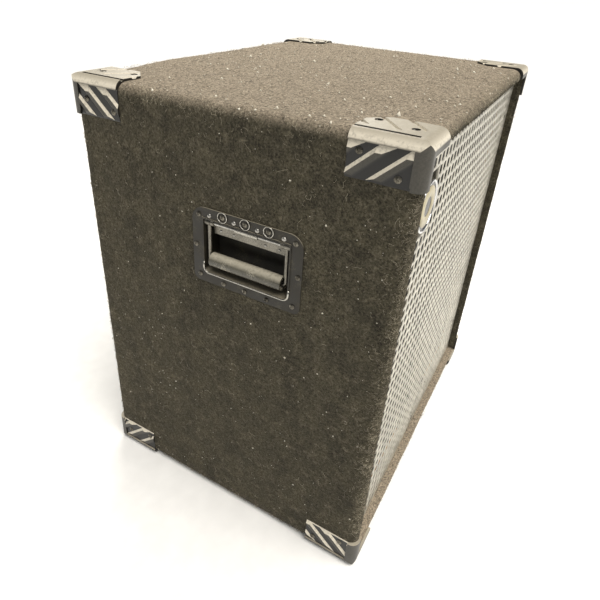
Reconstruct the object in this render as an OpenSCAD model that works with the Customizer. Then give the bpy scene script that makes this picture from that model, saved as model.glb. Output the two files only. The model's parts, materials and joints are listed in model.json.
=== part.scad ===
// Carpeted two-way PA speaker cabinet with stacking corners, spring-return side
// handles and a perforated steel grille. Millimetres, +Z up, front faces -Y,
// origin under the middle of the cabinet, on the surface that it stands on.

/* [Cabinet] */
// Width over the carpet
cab_w = 575; // [540:1:640]
// Depth over the carpet
cab_d = 450; // [430:1:520]
// Height over the carpet
cab_h = 622; // [615:1:700]
// Plywood thickness
ply = 15; // [12:1:18]
// Carpet thickness
carpet = 2.5; // [2:0.5:4]
// Radius of the carpeted outside edges
edge_r = 14; // [10:1:18]
// Width of the carpeted lip around the grille
lip = 13.5; // [12:0.5:16]
// Depth of the pocket in front of the baffle
pocket = 31; // [28:1:40]

/* [Corner protectors] */
// How far a protector stands proud of the carpet
proud = 3; // [2.5:0.5:4]
// Length of the leg across the width
leg_x = 62; // [58:1:80]
// Length of the leg along the depth
leg_y = 80; // [70:1:90]
// Length of the leg down the height
leg_z = 49; // [44:1:56]
// Angle of the cast ribs
rib_angle = 42; // [35:1:50]

/* [Side handles] */
// Height of the handle's centre
handle_z = 450; // [380:1:480]
// Handle's centre behind the middle of the depth
handle_y = -34.3; // [-60:0.1:0]
// Width of the handle flange
flange_w = 153; // [150:1:165]
// Height of the handle flange
flange_h = 102; // [100:1:112]
// Depth of the pressed dish
dish_depth = 30; // [28:1:36]
// Diameter of the grip
grip_d = 18; // [16:1:20]
// Diameter of the bent steel bail
bail_d = 5; // [4:0.5:5]

/* [Grille and badge] */
// Depth of the grille face behind the front of the lip
grille_recess = 12.5; // [10:0.5:15]
// Sheet thickness of the grille
grille_t = 1.5; // [1:0.5:2]
// Side of the square notch for the badge
notch = 70; // [64:1:80]
// Diameter of the badge
badge_d = 61; // [50:1:62]

/* [Drivers] */
// Height of the woofer's centre
woofer_z = 229; // [225:1:235]
// Outer radius of the woofer frame
woofer_r = 195; // [190:1:196]
// Height of the horn's centre
horn_z = 508; // [506:1:512]
// Width of the horn mouth
horn_w = 360; // [320:1:372]
// Height of the horn mouth
horn_h = 120; // [110:1:126]
// Inside radius of the reflex ports
port_r = 34; // [28:1:36]

/* [Connections] */
// Height of the rear connection dish
jack_z = 330; // [300:1:360]
// Radius of a phone-plug hole
jack_r = 3.25; // [3.2:0.05:3.4]
// Radius of the locking speaker socket
socket_r = 11; // [10:0.5:12]

/* [Hidden] */
$fn = 48;
eps = 0.01;

// Cabinet levels and faces
base_z = proud;
roof_z = base_z + cab_h;
wood_w = cab_w - 2 * carpet;
wood_d = cab_d - 2 * carpet;
wood_h = cab_h - 2 * carpet;
wood_r = edge_r - carpet;
in_w = wood_w - 2 * ply;
in_z0 = base_z + carpet + ply;
in_z1 = roof_z - carpet - ply;
front_y = -cab_d / 2;
back_y = cab_d / 2;
baffle_y = front_y + pocket;
back_in_y = back_y - carpet - ply;
lip_w = cab_w - 2 * lip;
lip_wood = lip - carpet;
seam = 22;

// Corner protectors
shell_r = edge_r - 2;
roller = 11;
groove_depth = 2.2;
field_v = 15;
field_depth = 2.1;
rib_pitch = 30.5;
frame_u = 21.5;
rib_top = 4.5;
rib_foot = 11.5;
slot_pitch = 39;
slot_w = 5.5;
edge_slope = 5;
cut_corner = 20;
front_side_screws = [[68, 20.5], [27, 40]];
back_side_screws = [[71, 38], [27, 28.5]];
top_screws = [[44, 67.5], [33, 26.5]];
screw_r = 1.9;
screw_head_r = 3.7;
screw_seat = field_depth;
seat_r = 4.4;
screw_len = 15;

// Handle, in its own frame: x = 0 is the carpet face, -x is outward
flange_t = 1.5;
open_y = 59.5;
open_z0 = -35.6;
open_z1 = 36.5;
pin_x = 3;
pin_z = 32;
pin_r = 2.4;
grip_z = -17.8;
arm_y = 54;
bend_r = 3.2;
eye_r = 4.2;
knuckles = [[46.5, 4.6], [56.8, 2.6]];
handle_corner_holes = [for (y = [-66.5, 66.5], z = [-41.5, 40.8]) [y, z]];
handle_side_holes = [[-71.5, -0.5], [71.5, -0.5]];
handle_low_holes = [for (y = [-31.1, 0, 31.1]) [y, -45.3]];
handle_ring_holes = [for (y = [-31.6, 0, 31.6]) [y, 45]];
handle_holes = concat(handle_corner_holes, handle_side_holes, handle_low_holes, handle_ring_holes);
strip_rivets = [for (y = [-51.2, -16, 16, 51.2]) [y, 42]];
leg_rivets = [for (y = [-41, -22, 22, 41]) [y, 21]];

// Grille and badge
grille_y = front_y + grille_recess;
grille_w = lip_w - 3;
grille_h = cab_h - 2 * lip - 3;
grille_z = base_z + cab_h / 2;
grille_depth = 15.5;
notch_x = -207;
notch_z = base_z + 533.5;
badge_x = -204;
badge_z = base_z + 531.5;

// Woofer profile, measured from the baffle's front face, +z forwards
rim_t = 5;
cutout_r = 177;
cone_r = 150;
coil_r = 38.2;
plate_r = 95;
plate_z = -95;
port_len = 140;
port_x = 212;
port_z = 62;

// Connection dish
jack_w = 150;
jack_h = 112;
jack_depth = 24;
jack_wall_y = back_y - jack_depth;
jack_xs = [-48, -20];
socket_x = 14;
knob_x = 46;
board_y = back_in_y - 8;
board_z = 190;
panel_screws = [
    for (x = [-190, 0, 190], z = [in_z0 + 9, in_z1 - 9]) [x, z],
    for (x = [-261, 261], z = [170, 330, 480]) [x, z]
];

// ---------- shared shapes ----------

// Rectangle with round corners, centred
module round_rect(w, h, r) {
    square([w - 2 * r, h], center = true);
    square([w, h - 2 * r], center = true);
    for (x = [-1, 1], y = [-1, 1])
        translate([x * (w / 2 - r), y * (h / 2 - r)]) circle(r);
}

// Block whose edges are all rounded, standing on z = 0
module round_block(w, d, h, r) {
    translate([0, 0, h / 2])
    intersection() {
        linear_extrude(h, center = true) round_rect(w, d, r);
        rotate([90, 0, 0]) linear_extrude(d, center = true) round_rect(w, h, r);
        rotate([90, 0, 90]) linear_extrude(w, center = true) round_rect(d, h, r);
    }
}

// Extrudes a drawing of (Y, Z) along X from x0 to x1
module along_x(x0, x1) {
    translate([x0, 0, 0]) rotate([90, 0, 90]) linear_extrude(x1 - x0) children();
}

// Extrudes a drawing of (X, Z) along Y from y0 to y1
module along_y(y0, y1) {
    translate([0, y1, 0]) rotate([90, 0, 0]) linear_extrude(y1 - y0) children();
}

// Cylinder along X, from x0 to x1
module rod_x(x0, x1, r) {
    translate([x0, 0, 0]) rotate([0, 90, 0]) cylinder(h = x1 - x0, r = r);
}

// Cylinder along Y, from y0 to y1
module rod_y(y0, y1, r) {
    translate([0, y0, 0]) rotate([-90, 0, 0]) cylinder(h = y1 - y0, r = r);
}

// Axis of a driver: local +z points out of the front of the baffle
module driver_at(z) {
    translate([0, baffle_y, z]) rotate([90, 0, 0]) children();
}

// Pan head with a domed top and a cross slot, +z outward, on z = 0
module pan_head(r, h) {
    difference() {
        intersection() {
            cylinder(h = h, r = r);
            translate([0, 0, h - r * 1.6]) sphere(r * 1.6);
        }
        for (a = [0, 90]) rotate([0, 0, a + 20]) translate([-r * 0.55, -0.4, h - 0.9]) cube([r * 1.1, 0.8, 2]);
    }
}

// Wood screw: head on z = 0, shank below it
module wood_screw(head_r, head_h, r, len) {
    pan_head(head_r, head_h);
    translate([0, 0, -len]) cylinder(h = len + eps, r = r);
}

// Countersunk screw with its flat head level with z = 0
module flat_screw(head_r, r, len) {
    difference() {
        rotate_extrude() polygon([[0, 0], [head_r, 0], [r, -(head_r - r)], [r, -len], [0, -len]]);
        for (a = [0, 90]) rotate([0, 0, a]) translate([-head_r * 0.55, -0.35, -0.8]) cube([head_r * 1.1, 0.7, 2]);
    }
}

// ---------- carcass ----------

module wood_block() {
    translate([0, 0, base_z + carpet]) round_block(wood_w, wood_d, wood_h, wood_r);
}

module carpet_block() {
    translate([0, 0, base_z]) round_block(cab_w, cab_d, cab_h, edge_r);
}

// Rebate that holds the grille in front of the baffle
module front_rebate(gap) {
    w = cab_w - 2 * (lip_wood + gap);
    h = cab_h - 2 * (lip_wood + gap);
    translate([-w / 2, front_y - 5, base_z + lip_wood + gap]) cube([w, pocket + 5, h]);
}

// Places children at both handles; the right one is mirrored
module at_handles() {
    for (s = [0, 1]) mirror([s, 0, 0]) translate([-cab_w / 2, handle_y, handle_z]) children();
}

module at_left_handle() {
    translate([-cab_w / 2, handle_y, handle_z]) children();
}

module at_right_handle() {
    mirror([1, 0, 0]) at_left_handle() children();
}

// Hole in the side for the dish, and the shallow seat of its hinge strip
module handle_cutout() {
    translate([-5, -open_y - 3, open_z0 - 3]) cube([60, 2 * open_y + 6, open_z1 - open_z0 + 6]);
    translate([-5, -open_y - 3, open_z1]) cube([6.6, 2 * open_y + 6, 12.5]);
}

module handle_screw_holes() {
    for (p = handle_holes) translate([0, p[0], p[1]]) rod_x(-5, 14, 1.5);
}

// Everything that is drilled or cut through a side
module side_cuts() {
    at_handles() {
        handle_cutout();
        handle_screw_holes();
    }
    protector_screw_shanks();
}

module side_panel() {
    difference() {
        intersection() {
            wood_block();
            translate([-cab_w / 2, -cab_d, in_z0]) cube([cab_w / 2 - in_w / 2, 2 * cab_d, in_z1 - in_z0]);
        }
        front_rebate(0);
        side_cuts();
    }
}

module left_side_panel() {
    color("burlywood") side_panel();
}

module right_side_panel() {
    color("burlywood") mirror([1, 0, 0]) side_panel();
}

module top_panel() {
    color("burlywood")
    difference() {
        intersection() {
            wood_block();
            translate([-cab_w, -cab_d, in_z1]) cube([2 * cab_w, 2 * cab_d, 100]);
        }
        front_rebate(0);
        protector_screw_shanks();
    }
}

module bottom_panel() {
    color("burlywood")
    difference() {
        intersection() {
            wood_block();
            translate([-cab_w, -cab_d, in_z0 - 100]) cube([2 * cab_w, 2 * cab_d, 100]);
        }
        front_rebate(0);
        protector_screw_shanks();
    }
}

module back_panel() {
    color("burlywood")
    difference() {
        translate([-in_w / 2, back_in_y, in_z0]) cube([in_w, ply, in_z1 - in_z0]);
        jack_cutout();
        for (p = panel_screws) translate([p[0], 0, p[1]]) rod_y(back_in_y - 1, back_y, 1.9);
        for (x = [-70, 70], z = [-45, 45])
            translate([x, 0, jack_z + z]) rod_y(back_y - 16, back_y, 1.5);
        board_standoffs(1.5, 8);
    }
}

module baffle_board() {
    color("burlywood")
    difference() {
        translate([-in_w / 2, baffle_y, in_z0]) cube([in_w, 18, in_z1 - in_z0]);
        translate([0, 0, woofer_z]) rod_y(baffle_y - 1, baffle_y + 20, cutout_r);
        translate([-(horn_w - 20) / 2, baffle_y - 1, horn_z - (horn_h - 14) / 2])
            cube([horn_w - 20, 20, horn_h - 14]);
        for (x = [-port_x, port_x]) translate([x, 0, port_z]) rod_y(baffle_y - 1, baffle_y + 20, port_r + 3);
        driver_screw_shanks();
        translate([badge_x, 0, badge_z]) rod_y(baffle_y - 1, baffle_y + 8, 4);
    }
}

// Four battens that the back panel is screwed to
module back_battens() {
    b = 18;
    color("tan")
    difference() {
        union() {
            for (z = [in_z0, in_z1 - b])
                translate([-in_w / 2, back_in_y - b, z]) cube([in_w, b, b]);
            for (x = [-in_w / 2, in_w / 2 - b])
                translate([x, back_in_y - b, in_z0 + b + 0.5]) cube([b, b, in_z1 - in_z0 - 2 * b - 1]);
        }
        for (p = panel_screws) translate([p[0], 0, p[1]]) rod_y(back_in_y - 14, back_y, 1.9);
    }
}

module side_brace() {
    color("burlywood")
    translate([-in_w / 2, 60, 335]) cube([in_w, 70, ply]);
}

module carpet_wrap() {
    color("#3b3732")
    difference() {
        carpet_block();
        difference() {
            wood_block();
            translate([-wood_w, front_y - 5, -5]) cube([2 * wood_w, 5 + carpet + 22, 2 * cab_h]);
        }
        intersection() {
            difference() {
                wood_block();
                front_rebate(0);
            }
            translate([-wood_w, front_y - 5, -5]) cube([2 * wood_w, 5 + carpet + 22 + eps, 2 * cab_h]);
        }
        front_rebate(carpet);
        translate([-in_w / 2 + seam - 18, back_y - 10, in_z0 + 4])
            cube([in_w - 2 * seam + 36, 20, in_z1 - in_z0 - 8]);
        side_cuts();
    }
}

// Separate piece of carpet on the removable back panel
module back_carpet() {
    w = in_w - 2 * seam + 35;
    color("#35312d")
    difference() {
        translate([-w / 2, back_y - carpet, in_z0 + 4.5]) cube([w, carpet, in_z1 - in_z0 - 9]);
        jack_cutout();
        for (p = panel_screws) translate([p[0], 0, p[1]]) rod_y(back_y - 10, back_y + 2, 1.9);
        for (x = [-70, 70], z = [-45, 45])
            translate([x, 0, jack_z + z]) rod_y(back_y - 16, back_y + 2, 3.2);
    }
}

module back_panel_screws() {
    color("#222222")
    for (p = panel_screws)
        translate([p[0], back_y, p[1]]) rotate([-90, 0, 0]) wood_screw(4.2, 2.2, 1.9, 26);
}

// ---------- corner protectors ----------

// Places children in the frame of one corner: +x, +y and +z run into the cabinet
module at_corner(sx, sy, sz) {
    x = sx * (cab_w / 2 + proud);
    y = sy * (cab_d / 2 + proud);
    z = sz < 0 ? 0 : roof_z + proud;
    translate([x, y, z]) scale_signs(-sx, -sy, -sz) children();
}

module scale_signs(x, y, z) {
    mirror([x < 0 ? 1 : 0, 0, 0]) mirror([0, y < 0 ? 1 : 0, 0]) mirror([0, 0, z < 0 ? 1 : 0]) children();
}

// Outside of the moulding, its corner at the origin
module corner_form(inset, r) {
    s = 300;
    translate([s / 2 + inset, s / 2 + inset, inset]) round_block(s, s, s, r);
}

// Parallel diagonal ribs with sloping flanks; their tops reach the plane z = 0
module cast_ribs(first, count) {
    for (i = [0 : count - 1])
        translate([first + i * rib_pitch, 0, 0])
        rotate([0, 0, rib_angle])
        rotate([90, 0, 90])
        linear_extrude(200, center = true)
        polygon([[-rib_foot / 2, field_depth + 1], [-rib_foot / 2, field_depth], [-rib_top / 2, 0],
                 [-rib_top / 2, -2], [rib_top / 2, -2], [rib_top / 2, 0], [rib_foot / 2, field_depth],
                 [rib_foot / 2, field_depth + 1]]);
}

// Screw places on a side leg, as distances from the end face and from the top
function side_spots(front) = front ? front_side_screws : back_side_screws;

// Side leg: a groove under the roller that slopes out to the rib tops, then the
// sunk field that the ribs cross
module side_field(front) {
    translate([0, leg_y + 1, 0]) rotate([90, 0, 0]) linear_extrude(leg_y + 1 - field_v)
        polygon([[-1, roller], [groove_depth, roller], [0, roller + 8], [-1, roller + 8]]);
    difference() {
        translate([-1, field_v, roller]) cube([1 + field_depth, leg_y, leg_z]);
        rotate([90, 0, 90]) cast_ribs(front ? -3 : -20.5, 3);
    }
    for (s = side_spots(front)) translate([0, s[0], s[1]]) rod_x(-1, screw_seat, seat_r);
}

// Top or bottom leg: a groove beside the roller, a flat frame, then diagonal slots
module flat_field() {
    translate([roller - 1.5, field_v, -1]) cube([4, leg_y, 1 + field_depth]);
    intersection() {
        translate([frame_u, field_v + 2, -1]) cube([leg_x, leg_y, 1 + field_depth]);
        for (i = [0 : 2])
            translate([-64 + i * slot_pitch, 0, 0])
            rotate([0, 0, rib_angle - 2])
            rotate([90, 0, 90])
            linear_extrude(300, center = true)
            polygon([[-slot_w / 2, -1], [-slot_w / 2, 0], [1 - slot_w / 2, field_depth],
                     [slot_w / 2 - 1, field_depth], [slot_w / 2, 0], [slot_w / 2, -1]]);
    }
    for (s = top_screws) translate([s[0], s[1], -1]) cylinder(h = 1 + screw_seat, r = seat_r);
}

// Upright leg whose free edge slopes back to the carpet
module side_leg(t, d) {
    translate([0, d, 0]) rotate([90, 0, 0]) linear_extrude(d)
        polygon([[0, 0], [t, 0], [t, leg_z], [proud, leg_z], [0, leg_z - edge_slope]]);
}

// Legs over the three faces; the front one stays on the narrow lip
module corner_legs(front) {
    t = shell_r + 2;
    difference() {
        cube([leg_x, leg_y, t]);
        translate([leg_x, leg_y - cut_corner, -1]) rotate([0, 0, 45]) cube([60, 60, t + 2]);
    }
    side_leg(t, leg_y);
    if (front) {
        cube([leg_x, t, lip + proud]);
        cube([lip + proud, t, leg_z]);
    } else {
        cube([leg_x - 8, t, leg_z]);
    }
}

module corner_protector(front) {
    color("#26262a")
    difference() {
        intersection() {
            corner_legs(front);
            corner_form(0, shell_r);
        }
        corner_form(proud, edge_r);
        side_field(front);
        flat_field();
        if (front) translate([lip + proud, -1, lip + proud]) cube([200, proud + 24, 200]);
        for (s = side_spots(front)) translate([0, s[0], s[1]]) rod_x(-1, 10, screw_r);
        for (s = top_screws) translate([s[0], s[1], -1]) cylinder(h = 11, r = screw_r);
    }
}

module protector_top_front_left() {
    at_corner(-1, -1, 1) corner_protector(true);
}

module protector_top_front_right() {
    at_corner(1, -1, 1) corner_protector(true);
}

module protector_top_back_left() {
    at_corner(-1, 1, 1) corner_protector(false);
}

module protector_top_back_right() {
    at_corner(1, 1, 1) corner_protector(false);
}

module protector_bottom_front_left() {
    at_corner(-1, -1, -1) corner_protector(true);
}

module protector_bottom_front_right() {
    at_corner(1, -1, -1) corner_protector(true);
}

module protector_bottom_back_left() {
    at_corner(-1, 1, -1) corner_protector(false);
}

module protector_bottom_back_right() {
    at_corner(1, 1, -1) corner_protector(false);
}

// Places children at every protector screw, +z outward, z = 0 under its head:
// two through each side leg and two through each top or bottom leg
module at_protector_screws() {
    for (x = [-1, 1], y = [-1, 1], z = [-1, 1]) at_corner(x, y, z) {
        for (s = side_spots(y < 0)) translate([screw_seat, s[0], s[1]]) rotate([0, -90, 0]) children();
        for (s = top_screws) translate([s[0], s[1], screw_seat]) rotate([180, 0, 0]) children();
    }
}

module protector_screw_shanks() {
    at_protector_screws() translate([0, 0, -screw_len]) cylinder(h = screw_len + 5, r = screw_r);
}

module protector_screws() {
    color("#c8c8c8") at_protector_screws() wood_screw(screw_head_r, screw_seat - 0.2, screw_r, screw_len);
}

// ---------- grille and badge ----------

module grille() {
    color("silver")
    difference() {
        translate([0, 0, grille_z]) along_y(grille_y, grille_y + grille_depth) round_rect(grille_w, grille_h, 3);
        translate([0, 0, grille_z])
            along_y(grille_y + grille_t, grille_y + grille_depth - grille_t)
            square([grille_w - 2 * grille_t, grille_h - 2 * grille_t], center = true);
        translate([0, 0, grille_z])
            along_y(grille_y + grille_t, grille_y + grille_depth + 1)
            square([grille_w - 26, grille_h - 26], center = true);
        translate([notch_x - notch / 2, grille_y - 1, notch_z - notch / 2]) cube([notch, grille_t + 2, notch]);
    }
}

// Hook-and-loop pads between the grille's return flange and the baffle
module grille_fastener_pads() {
    y0 = grille_y + grille_depth;
    color("#1a1a1a")
    for (x = [-1, 1], z = [70, 250, 400, 560])
        translate([x * (grille_w / 2 - 7) - 5.5, y0, base_z + z]) cube([11, baffle_y - y0, 40]);
}

module badge() {
    color("#d8d2c0")
    translate([badge_x, 0, badge_z])
    difference() {
        union() {
            rod_y(grille_y - 2, grille_y + 2, badge_d / 2);
            rod_y(grille_y, baffle_y, 9);
            rod_y(baffle_y, baffle_y + 8, 4);
        }
        rod_y(grille_y - 3, grille_y - 1, badge_d / 2 - 2.5);
    }
}

// ---------- woofer ----------

module woofer_basket() {
    color("#2c2c2e")
    driver_at(woofer_z)
    difference() {
        rotate_extrude(convexity = 4)
        polygon([[cone_r + 20, 0], [cone_r + 20, -12], [plate_r + 13, -78], [plate_r + 9, plate_z],
                 [45, plate_z], [45, plate_z - 4], [plate_r + 12, plate_z - 4], [plate_r + 17, -78],
                 [cutout_r - 3, -12], [cutout_r - 3, 0], [woofer_r, 0], [woofer_r, rim_t],
                 [cone_r + 20, rim_t]]);
        for (a = [0 : 60 : 300])
            rotate([0, 0, a + 30]) translate([100, -38, -66]) cube([100, 76, 48]);
        woofer_screw_ring(-1, 12, 2.5);
    }
}

module woofer_screw_ring(z0, h, r) {
    for (a = [0 : 45 : 315]) rotate([0, 0, a + 22.5]) translate([woofer_r - 9, 0, z0]) cylinder(h = h, r = r);
}

module woofer_magnet() {
    color("#3a3a3c")
    driver_at(woofer_z)
    rotate_extrude(convexity = 4)
    polygon([[0, plate_z - 6], [36, plate_z - 6], [36, plate_z - 34], [50, plate_z - 34],
             [50, plate_z - 12], [coil_r + 1.4, plate_z - 12], [coil_r + 1.4, plate_z - 4],
             [80, plate_z - 4], [80, plate_z - 12], [90, plate_z - 12], [90, plate_z - 34],
             [80, plate_z - 34], [80, plate_z - 44], [0, plate_z - 44]]);
}

module woofer_cone() {
    color("#1c1c1c")
    driver_at(woofer_z)
    rotate_extrude()
    polygon([[coil_r, -52], [90, -30], [cone_r, -2], [cone_r, 0], [90, -28], [coil_r, -50]]);
}

module woofer_dust_cap() {
    color("#141414")
    driver_at(woofer_z)
    translate([0, 0, -42.6])
    rotate_extrude()
    intersection() {
        difference() {
            translate([0, -52]) circle(r = 76, $fn = 96);
            translate([0, -52]) circle(r = 74.8, $fn = 96);
        }
        square([100, 60]);
    }
}

module woofer_voice_coil() {
    color("#b06a3a")
    driver_at(woofer_z)
    translate([0, 0, plate_z - 22]) difference() {
        cylinder(h = 65, r = coil_r);
        translate([0, 0, -1]) cylinder(h = 67, r = coil_r - 1);
    }
}

// Half-round roll with a cuff at the cone and a foot on the basket's rim
module woofer_surround() {
    r = 8.6;
    t = 1.2;
    c = cone_r + 0.4 + r;
    color("#202020")
    driver_at(woofer_z)
    rotate_extrude()
    polygon(concat(
        [[c + r + 8, rim_t], [c + r + 8, rim_t + t]],
        [for (a = [10 : 10 : 180]) [c + r * cos(a), rim_t + r * sin(a)]],
        [[c - r, -t], [c - r + t, -t]],
        [for (a = [180 : -10 : 0]) [c + (r - t) * cos(a), rim_t + (r - t) * sin(a)]]));
}

module woofer_spider() {
    color("#a08040")
    driver_at(woofer_z)
    translate([0, 0, -77])
    rotate_extrude()
    polygon([[coil_r + 0.4, 0], [50, 3], [60, 0], [70, 3], [80, 0], [90, 3], [plate_r + 12, 0],
             [plate_r + 12, 1], [90, 4], [80, 1], [70, 4], [60, 1], [50, 4], [coil_r + 0.4, 1]]);
}

// ---------- horn, ports and their screws ----------

module horn_section(w, h, z) {
    translate([-w / 2, -h / 2, z]) cube([w, h, 0.5]);
}

module horn_body(grow) {
    hull() {
        horn_section(horn_w - 40 + grow, horn_h - 30 + grow, 0);
        horn_section(140 + grow, 66 + grow, -80);
    }
    hull() {
        horn_section(140 + grow, 66 + grow, -80);
        horn_section(24 + grow, 24 + grow, -150);
    }
}

module horn_flare() {
    color("#1f1f21")
    driver_at(horn_z)
    difference() {
        union() {
            linear_extrude(4) round_rect(horn_w, horn_h, 8);
            horn_body(6);
            translate([-32, -32, -156]) cube([64, 64, 6]);
        }
        translate([0, 0, 0.5]) linear_extrude(8) square([horn_w - 40, horn_h - 30], center = true);
        translate([0, 0, 0.6]) horn_body(0);
        translate([0, 0, -160]) cylinder(h = 12, r = 12.5);
        horn_screw_set(-6, 12, 2.3);
    }
}

module horn_screw_set(z0, h, r) {
    for (x = [-1, 1], y = [-1, 1])
        translate([x * (horn_w / 2 - 7), y * (horn_h / 2 - 5), z0]) cylinder(h = h, r = r);
}

module compression_driver() {
    color("#333336")
    driver_at(horn_z)
    translate([0, 0, -156]) rotate([180, 0, 0])
    difference() {
        union() {
            cylinder(h = 8, r = 38);
            translate([0, 0, 8]) cylinder(h = 34, r = 50);
            translate([0, 0, 42]) cylinder(h = 14, r = 34);
        }
        translate([0, 0, -1]) cylinder(h = 10, r = 12.5);
    }
}

module driver_screw_shanks() {
    driver_at(woofer_z) woofer_screw_ring(-14, 20, 2);
    driver_at(horn_z) horn_screw_set(-14, 20, 1.8);
}

module driver_screws() {
    color("#2a2a2a") {
        driver_at(woofer_z)
            for (a = [0 : 45 : 315]) rotate([0, 0, a + 22.5])
                translate([woofer_r - 9, 0, rim_t]) wood_screw(5, 2.4, 2, 17);
        driver_at(horn_z)
            for (x = [-1, 1], y = [-1, 1])
                translate([x * (horn_w / 2 - 7), y * (horn_h / 2 - 5), 4]) wood_screw(3.6, 2, 1.8, 16);
    }
}

// Two reflex ports with flared mouths flush in the baffle
module port_tubes() {
    color("#18181a")
    for (x = [-port_x, port_x])
        translate([x, baffle_y, port_z]) rotate([90, 0, 0])
        rotate_extrude()
        polygon([[port_r, -port_len], [port_r, -3], [port_r + 2.5, 1.5], [port_r + 8, 1.5],
                 [port_r + 8, 0], [port_r + 3, 0], [port_r + 3, -port_len]]);
}

// ---------- side handles ----------

// Flange outline: large radii above, small ones below
module flange_outline() {
    w = flange_w;
    h = flange_h;
    rt = 18;
    rb = 9;
    translate([-w / 2, -h / 2]) {
        translate([0, rb]) square([w, h - rb - rt]);
        translate([rt, rb]) square([w - 2 * rt, h - rb]);
        translate([rb, 0]) square([w - 2 * rb, 2 * rb]);
        for (x = [rt, w - rt]) translate([x, h - rt]) circle(rt);
        for (x = [rb, w - rb]) translate([x, rb]) circle(rb);
    }
}

// Opening of the dish, grown outward by g
module opening_outline(g) {
    h = open_z1 - open_z0;
    translate([0, (open_z0 + open_z1) / 2]) {
        round_rect(2 * (open_y + g), h + 2 * g, 6 + g);
        translate([-open_y - g, 0]) square([2 * (open_y + g), h / 2 + g]);
    }
}

module handle_dish() {
    color("#2b2b2d")
    difference() {
        union() {
            along_x(-flange_t, 0) flange_outline();
            along_x(-flange_t - 0.9, 0) opening_outline(2);
            along_x(0, dish_depth) opening_outline(1.5);
            for (p = handle_ring_holes) translate([0, p[0], p[1]]) rod_x(-flange_t - 0.5, 0, 6);
        }
        along_x(-5, dish_depth - 1.5) opening_outline(0);
        for (p = handle_ring_holes) translate([0, p[0], p[1]]) rod_x(-flange_t - 1, -flange_t, 5);
        for (p = handle_holes) translate([0, p[0], p[1]]) rod_x(-5, 5, 1.6);
        for (p = strip_rivets) translate([0, p[0], p[1]]) rod_x(-5, 5, 1.2);
        for (s = [-1, 1]) translate([-eps, s * 52.6 - 7.4, open_z1 - 1]) cube([1.6, 14.8, 4]);
    }
}

// Strip behind the flange, with knuckles for the pin and a leg behind the spring
module handle_hinge() {
    color("#6a6a6c")
    difference() {
        union() {
            translate([0, -60, open_z1 + 1.6]) cube([1.5, 120, 10]);
            translate([8, -50.8, 16]) cube([1.5, 101.6, pin_z + 4 - 16]);
            for (s = [-1, 1], k = knuckles) {
                y0 = s > 0 ? k[0] : -k[0] - k[1];
                translate([pin_x, 0, pin_z]) rod_y(y0, y0 + k[1], 4);
                translate([0, y0, pin_z + 2.6]) cube([1.5, k[1], open_z1 + 3 - pin_z]);
            }
            for (s = [-1, 1]) {
                y0 = s > 0 ? knuckles[0][0] : -knuckles[0][0] - 4.3;
                translate([pin_x, y0, pin_z + 2.6]) cube([6, 4.3, 1.4]);
            }
        }
        translate([pin_x, 0, pin_z]) rod_y(-70, 70, pin_r);
        for (p = strip_rivets) translate([0, p[0], p[1]]) rod_x(-5, 5, 1.2);
        for (p = handle_ring_holes) translate([0, p[0], p[1]]) rod_x(-5, 5, 2);
        for (p = leg_rivets) translate([0, p[0], p[1]]) rod_x(5, 12, 1);
    }
}

module handle_pin() {
    color("#b8b8ba")
    translate([pin_x, 0, pin_z]) rod_y(-59.4, 59.4, pin_r);
}

// Bent rod with an eye at each end; it turns on the pin
module handle_bail() {
    r = bail_d / 2;
    eye_w = bail_d + 0.2;
    color("#8c8c8e")
    difference() {
        union() {
            for (s = [0, 1]) mirror([0, s, 0]) translate([pin_x, arm_y, 0]) {
                translate([0, 0, pin_z]) rod_y(-eye_w / 2, eye_w / 2, eye_r);
                translate([0, 0, grip_z + bend_r]) cylinder(h = pin_z - grip_z - bend_r, r = r);
                translate([0, -bend_r, grip_z + bend_r]) rotate([0, 90, 0]) rotate_extrude(angle = 90)
                    translate([bend_r, 0]) circle(r);
            }
            translate([pin_x, 0, grip_z]) rod_y(-arm_y + bend_r, arm_y - bend_r, r);
        }
        translate([pin_x, 0, pin_z]) rod_y(-70, 70, pin_r + 0.05);
    }
}

module handle_grip() {
    g = 50.3;
    color("#3c3c3c")
    translate([pin_x, 0, grip_z])
    difference() {
        rod_y(-g, g, grip_d / 2);
        rod_y(-g - 1, g + 1, bail_d / 2);
        for (s = [0, 1]) mirror([0, s, 0]) rod_y(g - 7, g + 1, grip_d / 2 - 2.4);
    }
}

// Closely wound torsion spring on the pin, its fixed leg on the hinge leaf
module handle_spring() {
    color("#d0d0d0")
    translate([pin_x, 0, pin_z])
    difference() {
        union() {
            rod_y(-16.5, 16.5, 3.9);
            translate([0, 15, -3.3]) rod_x(0, 5, 0.6);
        }
        rod_y(-20, 20, pin_r + 0.1);
    }
}

module left_handle_dish() {
    at_left_handle() handle_dish();
}

module right_handle_dish() {
    at_right_handle() handle_dish();
}

module left_handle_hinge() {
    at_left_handle() handle_hinge();
}

module right_handle_hinge() {
    at_right_handle() handle_hinge();
}

module left_handle_pin() {
    at_left_handle() handle_pin();
}

module right_handle_pin() {
    at_right_handle() handle_pin();
}

module left_handle_bail() {
    at_left_handle() handle_bail();
}

module right_handle_bail() {
    at_right_handle() handle_bail();
}

module left_handle_grip() {
    at_left_handle() handle_grip();
}

module right_handle_grip() {
    at_right_handle() handle_grip();
}

module left_handle_spring() {
    at_left_handle() handle_spring();
}

module right_handle_spring() {
    at_right_handle() handle_spring();
}

module handle_screws() {
    color("#c8c8c8")
    at_handles()
        for (p = handle_holes)
            translate([-flange_t, p[0], p[1]]) rotate([0, -90, 0]) wood_screw(3.2, 1.9, 1.5, 14);
}

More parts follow.
